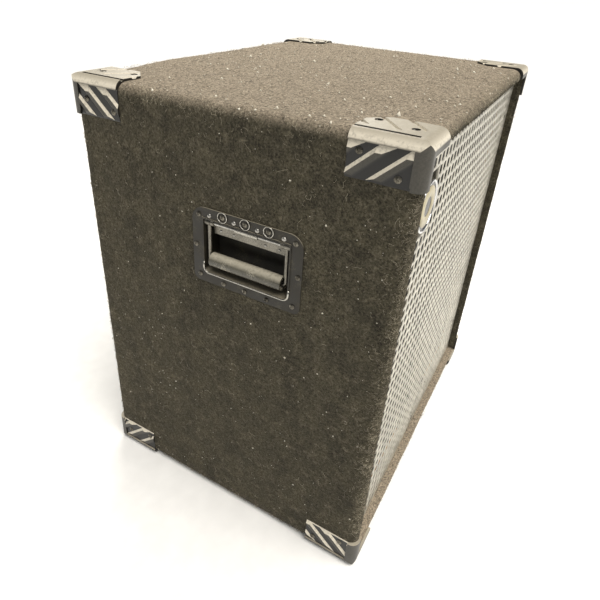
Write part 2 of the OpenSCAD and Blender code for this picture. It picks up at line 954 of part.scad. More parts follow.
module handle_rivets() {
    color("#b8b8b8")
    at_handles() {
        for (p = strip_rivets) translate([-flange_t, p[0], p[1]]) rotate([0, -90, 0]) {
            intersection() {
                translate([0, 0, -1.7]) sphere(3.4);
                cylinder(h = 4, r = 3);
            }
            translate([0, 0, -3]) cylinder(h = 3.1, r = 1.2);
        }
        for (p = leg_rivets) translate([8, p[0], p[1]]) rotate([0, -90, 0]) {
            intersection() {
                translate([0, 0, -0.8]) sphere(2);
                cylinder(h = 2, r = 1.8);
            }
            translate([0, 0, -2]) cylinder(h = 2.1, r = 1);
        }
    }
}

// ---------- connections ----------

module jack_cutout() {
    translate([-65, back_in_y - 1, jack_z - 46]) cube([130, 40, 92]);
}

// Recessed steel dish with a flange on the back carpet
module jack_dish() {
    color("#202022")
    translate([0, 0, jack_z])
    difference() {
        union() {
            along_y(back_y, back_y + 1.5) round_rect(jack_w, jack_h, 6);
            along_y(jack_wall_y, back_y) round_rect(128, 90, 6);
        }
        along_y(jack_wall_y + 1.5, back_y + 3) round_rect(125, 87, 5);
        for (x = jack_xs) translate([x, 0, 0]) rod_y(jack_wall_y - 1, jack_wall_y + 3, 4.8);
        translate([socket_x, 0, 0]) rod_y(jack_wall_y - 1, jack_wall_y + 3, socket_r + 1.5);
        translate([knob_x, 0, 0]) rod_y(jack_wall_y - 1, jack_wall_y + 3, 4);
        for (x = [-70, 70], z = [-45, 45]) translate([x, back_y + 1.5, z]) rotate([-90, 0, 0])
            rotate_extrude() polygon([[0, 1], [3.4, 1], [3.4, 0], [1.5, -1.9], [1.5, -3], [0, -3]]);
    }
}

module jack_dish_screws() {
    color("#2a2a2a")
    for (x = [-70, 70], z = [-45, 45])
        translate([x, back_y + 1.5, jack_z + z]) rotate([-90, 0, 0]) flat_screw(3.3, 1.4, 14);
}

module input_jacks() {
    color("#101012")
    for (x = jack_xs)
        translate([x, jack_wall_y, jack_z])
        difference() {
            union() {
                rotate([-90, 0, 0]) translate([0, 0, 1.5]) cylinder(h = 2.4, r = 7, $fn = 6);
                rod_y(-0.5, 6, 4.7);
                translate([-8, -28, -8]) cube([16, 28, 16]);
            }
            rod_y(-24, 7, jack_r);
        }
}

// Round locking socket for the speaker lead
module speaker_socket() {
    color("#141416")
    translate([socket_x, jack_wall_y, jack_z])
    difference() {
        union() {
            rod_y(-26, 4, socket_r + 1.4);
            along_y(1.5, 4) round_rect(30, 34, 3);
        }
        rod_y(-22, 5, socket_r);
        for (a = [0, 180]) rotate([0, a, 0]) translate([-2, -20, socket_r - 1]) cube([4, 25, 1.9]);
    }
}

// Body and bushing of the horn-level control
module level_control() {
    color("#777779")
    translate([knob_x, jack_wall_y, jack_z])
    difference() {
        union() {
            rod_y(-10, 0, 9);
            rod_y(-0.5, 5, 3.9);
        }
        rod_y(-6, 6, 3.05);
    }
}

// Knob and its shaft, which turn together
module level_knob() {
    color("#1c1c1e")
    translate([knob_x, jack_wall_y, jack_z]) {
        rod_y(-5.5, 8, 3);
        difference() {
            union() {
                rod_y(6, 18, 8.5);
                translate([-1.2, 6, 0]) cube([2.4, 13, 8.5]);
            }
            for (a = [0 : 30 : 330]) rotate([0, a + 15, 0]) translate([9.2, 0, 0]) rod_y(5, 19, 1.4);
        }
    }
}

// ---------- inside ----------

module board_standoffs(r, extra) {
    for (x = [-70, 70], z = [-50, 50])
        translate([x, 0, board_z + z]) rod_y(board_y, back_in_y + extra, r);
}

module crossover_board() {
    color("#2f5a36") {
        translate([-80, board_y - 2, board_z - 60]) cube([160, 2, 120]);
        board_standoffs(4, 0);
    }
}

module crossover_parts() {
    y1 = board_y - 2;
    color("#a4583a") {
        for (p = [[-48, 28, 24], [46, -26, 20]])
            translate([p[0], 0, board_z + p[1]]) difference() {
                rod_y(y1 - 20, y1, p[2]);
                rod_y(y1 - 21, y1 + 1, p[2] / 2);
            }
        for (i = [0 : 2])
            translate([2 + 22 * i, y1 - 9, board_z + 14]) cylinder(h = 36, r = 8.5);
        for (i = [0 : 1])
            translate([-66, y1 - 10, board_z - 50 + 18 * i]) cube([52, 10, 11]);
    }
}

// A lead made of straight runs that cross at its bends
module lead(points, r) {
    for (i = [0 : len(points) - 2]) {
        v = points[i + 1] - points[i];
        l = norm(v);
        translate(points[i])
            rotate([0, acos(v[2] / l), atan2(v[1], v[0])])
            translate([0, 0, i > 0 ? -r : 0])
            cylinder(h = l + (i > 0 ? r : 0), r = r, $fn = 24);
    }
}

module internal_wires() {
    color("#8a1f1f")
    for (route = [
        [[20, board_y - 3, board_z - 40], [20, 60, board_z - 60], [120, -80, 150], [118, -108, 170]],
        [[-10, board_y - 3.9, board_z + 56], [-10, 150, 300], [-10, 100, 480], [-10, 22, horn_z - 20]],
        [[-30, board_y - 3.9, board_z + 56], [-42, 176, 272], [-48, jack_wall_y - 31, jack_z]]
    ]) lead(route, 2.5);
}

module damping_pads() {
    color("#b9b39a") {
        translate([-240, -40, in_z0]) cube([480, 200, 25]);
        translate([-225, back_in_y - 25, 400]) cube([450, 25, 170]);
    }
}

top_panel();
bottom_panel();
left_side_panel();
right_side_panel();
back_panel();
baffle_board();
back_battens();
side_brace();
carpet_wrap();
back_carpet();
back_panel_screws();
protector_top_front_left();
protector_top_front_right();
protector_top_back_left();
protector_top_back_right();
protector_bottom_front_left();
protector_bottom_front_right();
protector_bottom_back_left();
protector_bottom_back_right();
protector_screws();
grille();
grille_fastener_pads();
badge();
woofer_basket();
woofer_magnet();
woofer_cone();
woofer_dust_cap();
woofer_voice_coil();
woofer_surround();
woofer_spider();
horn_flare();
compression_driver();
driver_screws();
port_tubes();
left_handle_dish();
left_handle_hinge();
left_handle_pin();
left_handle_bail();
left_handle_grip();
left_handle_spring();
right_handle_dish();
right_handle_hinge();
right_handle_pin();
right_handle_bail();
right_handle_grip();
right_handle_spring();
handle_screws();
handle_rivets();
jack_dish();
jack_dish_screws();
input_jacks();
speaker_socket();
level_control();
level_knob();
crossover_board();
crossover_parts();
internal_wires();
damping_pads();
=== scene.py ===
# %% [markdown]
# A stage loudspeaker cabinet: a plywood box in worn black carpet, with a silver
# perforated grille, moulded corner protectors and a bar handle let into each side.
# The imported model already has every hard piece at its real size. This script gives
# those pieces their finishes and builds what the solids only stand in for: the
# carpet, the perforated sheet, the springs' coils, the wadding and the badge.

# %% Frame and measured box
import json
import math

import bpy
import numpy as np
from mathutils import Matrix, Vector, noise


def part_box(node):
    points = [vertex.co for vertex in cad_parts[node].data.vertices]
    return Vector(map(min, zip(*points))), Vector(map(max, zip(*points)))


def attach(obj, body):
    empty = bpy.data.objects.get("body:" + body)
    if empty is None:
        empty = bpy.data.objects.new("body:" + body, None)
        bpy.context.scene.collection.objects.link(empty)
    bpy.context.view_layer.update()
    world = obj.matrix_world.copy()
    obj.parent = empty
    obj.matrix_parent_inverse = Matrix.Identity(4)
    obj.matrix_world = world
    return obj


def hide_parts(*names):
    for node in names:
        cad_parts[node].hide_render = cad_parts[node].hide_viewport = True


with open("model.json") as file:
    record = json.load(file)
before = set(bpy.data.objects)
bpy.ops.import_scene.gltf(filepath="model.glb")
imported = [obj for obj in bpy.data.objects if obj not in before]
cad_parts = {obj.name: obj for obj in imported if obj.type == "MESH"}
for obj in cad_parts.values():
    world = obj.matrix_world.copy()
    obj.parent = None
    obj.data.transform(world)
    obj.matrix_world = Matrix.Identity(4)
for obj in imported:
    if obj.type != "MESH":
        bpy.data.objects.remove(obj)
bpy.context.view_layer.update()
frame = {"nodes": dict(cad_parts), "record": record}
MM = 0.001
slot_of = {s["node"]: s["material_slot"] for s in frame["record"]["subparts"]}
print("nodes:", len(frame["nodes"]), "slots:", len(set(slot_of.values())))

# %% [markdown]
# Three small helpers carry the whole lesson. `tone` turns a colour picker's hex
# value into the linear values that a renderer needs. `add` places one shader node,
# sets its values and links its inputs. `mesh_piece` turns arrays of points and
# faces into an object that rides on a body of the frame and names its finish.

# %% Helpers
def tone(code):
    parts = [int(code[i:i + 2], 16) / 255 for i in (1, 3, 5)]
    linear = [c / 12.92 if c <= 0.04045 else ((c + 0.055) / 1.055) ** 2.4 for c in parts]
    return (*linear, 1.0)


def add(tree, kind, inputs=None, **settings):
    made = tree.nodes.new(kind)
    for key, value in settings.items():
        setattr(made, key, value)
    for key, value in (inputs or {}).items():
        if isinstance(value, bpy.types.NodeSocket):
            tree.links.new(value, made.inputs[key])
        else:
            made.inputs[key].default_value = value
    return made


def mesh_piece(name, points, faces, material, body="cabinet", smooth=True):
    mesh = bpy.data.meshes.new(name)
    mesh.from_pydata([tuple(p) for p in points], [], [tuple(f) for f in faces])
    mesh.validate()
    mesh.materials.append(material)
    if smooth:
        mesh.polygons.foreach_set("use_smooth", [True] * len(mesh.polygons))
    piece = bpy.data.objects.new(name, mesh)
    bpy.context.scene.collection.objects.link(piece)
    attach(piece, body)
    print(name, len(mesh.vertices), "points", len(mesh.polygons), "faces")
    return piece


# %% [markdown]
# Most real finishes are one substance with small changes of tone and gloss. This
# starts such a material: two tones mixed by a noise whose grain is given in
# millimetres, a roughness that wanders with a coarser noise, and a fine bump. The
# frame is in metres, so a grain of g mm is a noise of scale 1000 / g.

# %% A finish that wanders between two tones
def finish(name, dark, light, grain_mm, rough, bump_mm, metallic=0.0, ior=1.5):
    material = bpy.data.materials.new(name)
    material.use_nodes = True
    tree = material.node_tree
    shader = tree.nodes["Principled BSDF"]
    shader.inputs["Metallic"].default_value = metallic
    if not metallic:
        shader.inputs["IOR"].default_value = ior
    place = add(tree, "ShaderNodeTexCoord").outputs["Object"]
    grain = add(tree, "ShaderNodeTexNoise", {"Vector": place, "Scale": 1000 / grain_mm, "Detail": 4.0})
    cloud = add(tree, "ShaderNodeTexNoise", {"Vector": place, "Scale": 40.0, "Detail": 5.0})
    both = add(tree, "ShaderNodeMath", {0: grain.outputs["Fac"], 1: cloud.outputs["Fac"]}, operation="MULTIPLY")
    part = add(tree, "ShaderNodeMapRange", {"Value": both.outputs[0], "From Min": 0.15, "From Max": 0.38})
    colour = add(tree, "ShaderNodeMix", {0: part.outputs[0], 6: tone(dark), 7: tone(light)}, data_type="RGBA")
    gloss = add(tree, "ShaderNodeMapRange",
                {"Value": cloud.outputs["Fac"], "From Min": 0.3, "From Max": 0.7,
                 "To Min": rough - 0.08, "To Max": rough + 0.08})
    bump = add(tree, "ShaderNodeBump",
               {"Height": grain.outputs["Fac"], "Distance": bump_mm * MM, "Strength": 1.0})
    tree.links.new(colour.outputs[2], shader.inputs["Base Color"])
    tree.links.new(gloss.outputs[0], shader.inputs["Roughness"])
    tree.links.new(bump.outputs["Normal"], shader.inputs["Normal"])
    return material, tree, shader, place, colour, bump


# %% [markdown]
# Faces that look up are mixed towards a pale colour. Part of it is dust, which does
# settle there, and part is painted top light standing in for the light from above, so
# the same black plastic is cream-grey on top and black below. This helper mixes that
# pale colour in by the upward part of the surface's own normal, broken up by a noise
# with specks of about 3 mm.

# %% Settled dust and painted top light
def dust_and_painted_top_light(tree, shader, colour, place, dust, start, full, amount):
    normal = add(tree, "ShaderNodeTexCoord").outputs["Normal"]
    upward = add(tree, "ShaderNodeSeparateXYZ", {0: normal}).outputs["Z"]
    layer = add(tree, "ShaderNodeMapRange",
                {"Value": upward, "From Min": start, "From Max": full, "To Max": amount})
    speck = add(tree, "ShaderNodeTexNoise", {"Vector": place, "Scale": 1000 / 3.0, "Detail": 5.0})
    patchy = add(tree, "ShaderNodeMapRange",
                 {"Value": speck.outputs["Fac"], "From Min": 0.25, "From Max": 0.5, "To Min": 0.6})
    part = add(tree, "ShaderNodeMath", {0: layer.outputs[0], 1: patchy.outputs[0]}, operation="MULTIPLY")
    mixed = add(tree, "ShaderNodeMix", {0: part.outputs[0], 6: colour, 7: tone(dust)}, data_type="RGBA")
    tree.links.new(mixed.outputs[2], shader.inputs["Base Color"])
    return mixed.outputs[2]


def scuffed(name, dark, light, scuff, rough, amount, grain_mm=0.9, bump_mm=0.05, dust=None, **more):
    """A finish with pale scratches, all roughly along one direction, and, if dust is given, a paler top that is
    part dust and part painted top light.
    """
    material, tree, shader, place, colour, bump = finish(name, dark, light, grain_mm, rough, bump_mm, **more)
    bent = add(tree, "ShaderNodeMapping",
               {"Vector": place, "Scale": (260, 900, 620), "Rotation": (0.5, 0.3, 0.7)})
    marks = add(tree, "ShaderNodeTexNoise", {"Vector": bent.outputs[0], "Scale": 1.0, "Detail": 6.0})
    patch = add(tree, "ShaderNodeTexNoise", {"Vector": place, "Scale": 55.0, "Detail": 2.0})
    both = add(tree, "ShaderNodeMath", {0: marks.outputs["Fac"], 1: patch.outputs["Fac"]}, operation="MULTIPLY")
    hit = add(tree, "ShaderNodeMapRange",
              {"Value": both.outputs[0], "From Min": 0.29, "From Max": 0.42, "To Max": amount})
    mixed = add(tree, "ShaderNodeMix", {0: hit.outputs[0], 6: colour.outputs[2], 7: tone(scuff)},
                data_type="RGBA")
    tree.links.new(mixed.outputs[2], shader.inputs["Base Color"])
    if dust:
        dust_and_painted_top_light(tree, shader, mixed.outputs[2], place, *dust)
    return material


# %% [markdown]
# The corner protectors are moulded ABS: near black with a fine spark-eroded grain.
# Stacking and dragging grey only what stands proud, the rollers and rib tops, and
# the sunk fields stay black. The outside of all eight corners lies on one rounded
# block, so the depth below that block tells high from low: the usual distance to
# a rounded box, worked out with vector nodes. Over that, every face that tilts
# upwards, the ledges, rib flanks and upper rollers, gets a pale cream painted
# highlight for the light from above. The flat tops get a paler tone that is part
# dust and part painted top light.

# %% Moulded ABS, worn where it stands proud, with painted highlights on upward faces
def worn_moulding_painted_highlights():
    material, tree, shader, place, colour, bump = finish(
        "moulded_abs_worn_painted_highlights", "#0f0f0e", "#1a1917", 0.9, 0.42, 0.05)
    block_half = Vector((0.2905, 0.228, 0.314))
    shell = 12 * MM
    where = add(tree, "ShaderNodeNewGeometry").outputs["Position"]
    from_middle = add(tree, "ShaderNodeVectorMath", {0: where, 1: (0, 0, block_half.z)}, operation="SUBTRACT")
    folded = add(tree, "ShaderNodeVectorMath", {0: from_middle.outputs[0]}, operation="ABSOLUTE")
    past = add(tree, "ShaderNodeVectorMath",
               {0: folded.outputs[0], 1: block_half - Vector((shell, shell, shell))}, operation="SUBTRACT")
    outside = add(tree, "ShaderNodeVectorMath", {0: past.outputs[0], 1: (0, 0, 0)}, operation="MAXIMUM")
    reach = add(tree, "ShaderNodeVectorMath", {0: outside.outputs[0]}, operation="LENGTH")
    high = add(tree, "ShaderNodeMapRange",
               {"Value": reach.outputs["Value"], "From Min": shell - 1.5 * MM, "From Max": shell - 0.2 * MM})
    rub = add(tree, "ShaderNodeTexNoise",
              {"Vector": place, "Scale": 1000 / 2.2, "Detail": 7.0, "Roughness": 0.7})
    rubbed = add(tree, "ShaderNodeMapRange",
                 {"Value": rub.outputs["Fac"], "From Min": 0.3, "From Max": 0.62, "To Min": 0.45})
    part = add(tree, "ShaderNodeMath", {0: high.outputs[0], 1: rubbed.outputs[0]}, operation="MULTIPLY")
    mixed = add(tree, "ShaderNodeMix", {0: part.outputs[0], 6: colour.outputs[2], 7: tone("#45423a")},
                data_type="RGBA")
    # Painted highlight: pale cream on every face tilted upwards. Then the flat tops get a paler tone that is
    # part dust and part painted top light.
    painted_slope_highlight = dust_and_painted_top_light(tree, shader, mixed.outputs[2], place, "#e2dac8", 0.10, 0.26, 0.9)
    dust_and_painted_top_light(tree, shader, painted_slope_highlight, place, "#9c9585", 0.5, 0.9, 0.95)
    return material


moulded_abs = worn_moulding_painted_highlights()
print("made", moulded_abs.name)

# %% [markdown]
# Metals next. Powder-coated steel is a thin satin plastic over pressed sheet, so it
# is shaded as a dielectric. The silver grille is lacquered steel, mostly metallic to
# keep its soft sparkle. Zinc plating and drawn steel are true metals: their colour
# is in the reflection and their roughness tells plated from drawn.

# %% Metals
# Upward faces are mixed towards a pale tone: part dust and part painted top light.
powder_coat = scuffed("powder_coated_steel", "#1a1810", "#28241a", "#5c553f", 0.55, 0.45, grain_mm=0.7,
                      dust=("#a79f8c", 0.25, 0.8, 0.7))
silver_lacquer = finish("silver_lacquered_steel", "#aeaa9e", "#d8d4c8", 6.0, 0.34, 0.02, metallic=0.8)[0]
zinc_plate = finish("zinc_plated_steel", "#8d8b86", "#c3c1bb", 1.5, 0.34, 0.02, metallic=1.0)[0]
drawn_steel = finish("drawn_steel_tarnished", "#5d5b55", "#928e84", 1.2, 0.36, 0.02, metallic=1.0)[0]
worn_edge = finish("steel_worn_bright", "#a7a49c", "#d6d3ca", 2.0, 0.30, 0.02, metallic=1.0)[0]
ferrite = finish("ferrite_and_plated_iron", "#2f3033", "#47484b", 1.0, 0.5, 0.02, metallic=0.3)[0]
copper_wire = finish("enamelled_copper", "#8a4a26", "#b46a3c", 0.5, 0.3, 0.02, metallic=1.0)[0]
screw_steel = finish("dulled_screw_steel", "#45423b", "#8f8a7e", 0.9, 0.34, 0.03, metallic=1.0)[0]
chrome = finish("chromium_plate", "#d0d0d0", "#e6e6e6", 3.0, 0.14, 0.01, metallic=1.0)[0]
print("metals made")

# %% [markdown]
# Plastics, rubber, paper, cloth and wood. The grip is nitrile rubber gone grey and
# smooth from hands. The cone is pressed paper pulp, so it is rough and felted. The
# baffle is plywood with matt black paint, which is what shows through the grille.

# %% The other finishes
# The grip's pale upper side is a painted highlight for the light from above, mixed in as a pale top colour.
grip_rubber = scuffed("grip_rubber_hand_worn_painted_top_light", "#45433a", "#5a574b", "#b4ae9d", 0.27, 0.6, grain_mm=1.4,
                      dust=("#cfc8b5", 0.35, 0.95, 0.75))
black_moulding = finish("moulded_black_plastic", "#161618", "#232326", 1.0, 0.45, 0.04)[0]
paper_pulp = finish("pressed_paper_pulp", "#141415", "#26262a", 1.2, 0.8, 0.15)[0]
doped_cloth = finish("doped_cotton_cloth", "#19191b", "#2b2b2d", 0.8, 0.6, 0.1)[0]
black_paint = finish("matt_black_paint_on_plywood", "#0c0c0d", "#171718", 2.5, 0.75, 0.1)[0]
board = finish("glass_epoxy_board", "#1f4a2a", "#2c6238", 2.0, 0.4, 0.02)[0]
dipped = finish("dipped_components", "#6a3f28", "#8f5a3c", 4.0, 0.35, 0.02)[0]
sheath = finish("pvc_wire_sheath", "#5e1515", "#7c2020", 3.0, 0.4, 0.02)[0]
wadding_fibre = finish("polyester_wadding", "#b9b39c", "#ddd8c6", 4.0, 0.95, 1.0)[0]
hook_tape = finish("hook_and_loop_tape", "#101011", "#1e1e20", 0.8, 0.9, 0.3)[0]
cream_enamel = finish("cream_enamel", "#aaa084", "#c3b998", 5.0, 0.35, 0.01)[0]
black_enamel = finish("black_enamel", "#0d0d0e", "#17171a", 5.0, 0.25, 0.01)[0]

# Birch ply: grain drawn long along X, 5 mm from line to line across it.
ply, ply_tree, ply_shader, ply_place, ply_colour, _ = finish(
    "birch_plywood", "#a9814f", "#c9a671", 1.5, 0.6, 0.05)
stretched = add(ply_tree, "ShaderNodeMapping", {"Vector": ply_place, "Scale": (12, 200, 200)})
rings = add(ply_tree, "ShaderNodeTexNoise", {"Vector": stretched.outputs[0], "Scale": 1.0, "Detail": 3.0})
ply_mix = add(ply_tree, "ShaderNodeMix",
              {0: rings.outputs["Fac"], 6: ply_colour.outputs[2], 7: tone("#8f6638")}, data_type="RGBA")
ply_tree.links.new(ply_mix.outputs[2], ply_shader.inputs["Base Color"])
print("plywood and the rest made")

# %% [markdown]
# The carpet is needle-punched polypropylene: no loops, just a felt of crimped
# fibres 0.05 mm thick, matted by use and full of dust. Three things carry it at
# this size: a mottle a little coarser than the tufts (2.6 mm), broad paler bands
# where it was brushed, and a sheen, because fibres that stand up catch light at
# the edges of a surface. The tufts are drawn coarser than life so that they show.

# %% Carpet finish
def carpet_finish(name, dark, light, dust, top_dust_and_light):
    material, tree, shader, place, colour, bump = finish(name, dark, light, 2.2, 0.92, 1.4)
    shader.inputs["Specular IOR Level"].default_value = 0.15
    shader.inputs["Sheen Weight"].default_value = 0.2
    shader.inputs["Sheen Roughness"].default_value = 0.5
    shader.inputs["Sheen Tint"].default_value = tone("#b8ab94")
    tufts = add(tree, "ShaderNodeTexNoise",
                {"Vector": place, "Scale": 1000 / 2.6, "Detail": 4.0, "Roughness": 0.65, "Distortion": 0.5})
    clumps = add(tree, "ShaderNodeTexNoise",
                 {"Vector": place, "Scale": 1000 / 11.0, "Detail": 6.0, "Roughness": 0.7, "Distortion": 0.8})
    streak_place = add(tree, "ShaderNodeMapping", {"Vector": place, "Scale": (24, 24, 4)})
    streaks = add(tree, "ShaderNodeTexNoise", {"Vector": streak_place.outputs[0], "Scale": 1.0, "Detail": 3.0})
    band_part = add(tree, "ShaderNodeMapRange",
                    {"Value": streaks.outputs["Fac"], "From Min": 0.42, "From Max": 0.72, "To Max": 0.5})
    banded = add(tree, "ShaderNodeMix", {0: band_part.outputs[0], 6: colour.outputs[2], 7: tone(light)},
                 data_type="RGBA")
    clump_part = add(tree, "ShaderNodeMapRange",
                     {"Value": clumps.outputs["Fac"], "From Min": 0.5, "From Max": 0.7, "To Max": 0.45})
    clumped = add(tree, "ShaderNodeMix", {0: clump_part.outputs[0], 6: banded.outputs[2], 7: tone(dust)},
                  data_type="RGBA")
    # Upward faces get a paler tone. Part of it is settled dust and part is painted top light, making the top
    # lighter for the light from above.
    laid = dust_and_painted_top_light(tree, shader, clumped.outputs[2], place, top_dust_and_light, 0.15, 0.95, 0.95)
    tuft_part = add(tree, "ShaderNodeMapRange",
                    {"Value": tufts.outputs["Fac"], "From Min": 0.34, "From Max": 0.66,
                     "To Min": 0.4, "To Max": 1.75})
    grainy = add(tree, "ShaderNodeVectorMath", {0: laid, 3: tuft_part.outputs[0]}, operation="SCALE")
    height = add(tree, "ShaderNodeBump",
                 {"Height": tufts.outputs["Fac"], "Distance": 2.2 * MM, "Strength": 1.0,
                  "Normal": bump.outputs["Normal"]})
    tree.links.new(grainy.outputs[0], shader.inputs["Base Color"])
    tree.links.new(height.outputs["Normal"], shader.inputs["Normal"])
    return material


carpet = carpet_finish("needle_punched_carpet", "#2e2c24", "#4b473a", "#736c5c", "#8f8474")
fibre = finish("crimped_carpet_fibre", "#4c473c", "#857d6c", 20.0, 0.9, 0.01)[0]
pale_fibre = finish("pale_lint_fibre", "#8f8673", "#c9c0aa", 20.0, 0.9, 0.01)[0]
lint = finish("white_lint", "#c9c2b0", "#efeadb", 3.0, 0.95, 0.05)[0]
print("carpet made")

# %% [markdown]
# Every solid that stays visible gets the finish of its record slot. The baffle is
# an exception: it is plywood, but its painted front is what anybody sees.

# %% Finishes onto the solids
finish_of_slot = {
    "plywood": ply, "carpet": carpet, "moulded_corner": moulded_abs, "zinc_steel": zinc_plate,
    "silver_grille": silver_lacquer, "black_steel": powder_coat, "bare_steel": drawn_steel,
    "rubber": grip_rubber, "paper_cone": paper_pulp, "treated_cloth": doped_cloth,
    "ferrite": ferrite, "copper": copper_wire, "black_plastic": black_moulding,
    "badge_metal": chrome, "circuit_board": board, "component_cases": dipped,
    "wire_sheath": sheath, "wadding": wadding_fibre, "hook_tape": hook_tape,
}
for name, solid in frame["nodes"].items():
    made_of = finish_of_slot[slot_of[name]]
    if name == "baffle_board":
        made_of = black_paint
    if name in ("protector_screws", "handle_screws"):
        made_of = screw_steel
    solid.data.materials.clear()
    solid.data.materials.append(made_of)
print("finishes set on", len(frame["nodes"]), "solids")

# %% [markdown]
# The carpet's shape. A box of grid points is pulled onto a rounded box: each point
# is clamped to the inner box and pushed out again by the edge radius, which turns
# sharp edges into true rounds. Then each point moves along its normal by a few
# tenths of a millimetre, because glued carpet is never flat: broad waves, small
# lumps, and one spot by the rear left protector where it was pressed in.

# %% Rounded carpet box
low, high = (np.array(c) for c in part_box("carpet_wrap"))
centre = (low + high) / 2
half = (high - low) / 2
EDGE_R = 14 * MM
CELL = 4 * MM
LIP = 13.5 * MM


def rounded(points):
    """Points on the sharp box, moved onto the rounded one, with their normals."""
    p = points - centre
    inner = np.clip(p, -(half - EDGE_R), half - EDGE_R)
    away = p - inner
    length = np.linalg.norm(away, axis=1, keepdims=True)
    normal = away / np.maximum(length, 1e-9)
    return centre + inner + normal * EDGE_R, normal


def waves(points, seed, big=0.5, small=0.28, fine=0.22):
    """Height of the glued carpet over its flat shape, in metres."""
    heights = np.empty(len(points))
    shift = Vector((seed, 0.7 * seed, 1.3 * seed))
    for i, p in enumerate(points):
        at = Vector(p)
        broad = noise.noise(at * 14 + shift)
        lumps = noise.noise(at * 75 + shift)
        grit = noise.noise(at * 190 + shift)
        heights[i] = (big * broad + small * lumps + fine * grit) * MM
    return heights


print("carpet box", np.round((high - low) / MM, 1), "mm")

# %% [markdown]
# The wrap is made of grid faces with everything that something else covers left
# open: the front pocket, the back opening, and the holes for the dishes. Flanges
# hide the stepped edges of those holes. The lip then turns into the pocket as a
# few rings of points.

# %% Carpet grid
def steps(a, b, extra=()):
    """Grid lines from a to b, about CELL apart, that also pass through extra."""
    marks = sorted({a, b, *extra})
    lines = [a]
    for start, end in zip(marks, marks[1:]):
        count = max(1, round((end - start) / CELL))
        lines += [start + (end - start) * (i + 1) / count for i in range(count)]
    return np.array(lines)


DISH_HOLE_Y = 64 * MM
DISH_HOLE_Z = (-37 * MM, 41 * MM)
pocket_x = half[0] - LIP
pocket_z = (low[2] + LIP, high[2] - LIP)
back_low, back_high = (np.array(c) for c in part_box("back_carpet"))
dish_low, dish_high = (np.array(c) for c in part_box("left_handle_dish"))
jack_low, jack_high = (np.array(c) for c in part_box("jack_dish"))
dish_mid = (dish_low + dish_high) / 2
jack_mid = (jack_low + jack_high) / 2
xs = steps(low[0], high[0], (-pocket_x, pocket_x))
ys = steps(low[1], high[1])
zs = steps(low[2], high[2], pocket_z)


def covered(middle, face):
    """True where the wrap is open behind something: pocket, back panel or dish."""
    x, y, z = middle
    if face == "front":
        return abs(x) < pocket_x and pocket_z[0] < z < pocket_z[1]
    if face == "back":
        return back_low[0] < x < back_high[0] and back_low[2] < z < back_high[2]
    if face in ("left", "right"):
        return abs(y - dish_mid[1]) < DISH_HOLE_Y and DISH_HOLE_Z[0] < z - dish_mid[2] < DISH_HOLE_Z[1]
    return False


wrap_points, wrap_faces, known = [], [], {}


def point_index(p):
    key = tuple(round(c * 1e5) for c in p)
    if key not in known:
        known[key] = len(wrap_points)
        wrap_points.append(p)
    return known[key]


def grid_face(face, us, vs, place):
    for i in range(len(us) - 1):
        for j in range(len(vs) - 1):
            middle = place((us[i] + us[i + 1]) / 2, (vs[j] + vs[j + 1]) / 2)
            if covered(middle, face):
                continue
            corners = [place(us[i + a], vs[j + b]) for a, b in ((0, 0), (1, 0), (1, 1), (0, 1))]
            if face in ("front", "right", "top"):
                wrap_faces.append([point_index(c) for c in corners])
            else:
                wrap_faces.append([point_index(c) for c in reversed(corners)])


grid_face("front", xs, zs, lambda u, v: (u, low[1], v))
grid_face("back", xs, zs, lambda u, v: (u, high[1], v))
grid_face("left", ys, zs, lambda u, v: (low[0], u, v))
grid_face("right", ys, zs, lambda u, v: (high[0], u, v))
grid_face("top", xs, ys, lambda u, v: (u, v, high[2]))
grid_face("bottom", xs, ys, lambda u, v: (u, v, low[2]))
flat_points, wrap_normals = rounded(np.array(wrap_points))
lift = waves(flat_points, 3.1)

# The pressed-in spot on the rear top edge, just inboard of the left protector.
press = np.array([low[0] + 92 * MM, high[1] - 6 * MM, high[2] - 4 * MM])
near = np.exp(-(np.linalg.norm((flat_points - press) * (0.7, 1.1, 1.0), axis=1) / (26 * MM)) ** 2)
lift -= 2.0 * MM * near
bulge = np.array([low[0] + 165 * MM, high[1] - 8 * MM, high[2]])
near = np.exp(-(np.linalg.norm((flat_points - bulge) * (0.6, 1.1, 1.0), axis=1) / (42 * MM)) ** 2)
lift += 1.6 * MM * near
wrap_surface = flat_points + wrap_normals * lift[:, None]
print("wrap grid", len(wrap_points), "points")

# %% [markdown]
# The lip's inner edge. The open border of the pocket is followed once round, and
# copies of it step back into the pocket: the first ones round the edge over, the
# last lies against the baffle.

# %% Lip returning into the pocket
def border_loop():
    """Points round the pocket, corner to corner, on the front face."""
    loop = [(x, pocket_z[0]) for x in xs if -pocket_x - 1e-6 < x < pocket_x + 1e-6]
    loop += [(pocket_x, z) for z in zs if pocket_z[0] + 1e-6 < z < pocket_z[1] + 1e-6]
    loop += [(x, pocket_z[1]) for x in xs[::-1] if -pocket_x - 1e-6 < x < pocket_x - 1e-6]
    loop += [(-pocket_x, z) for z in zs[::-1] if pocket_z[0] + 1e-6 < z < pocket_z[1] - 1e-6]
    return loop


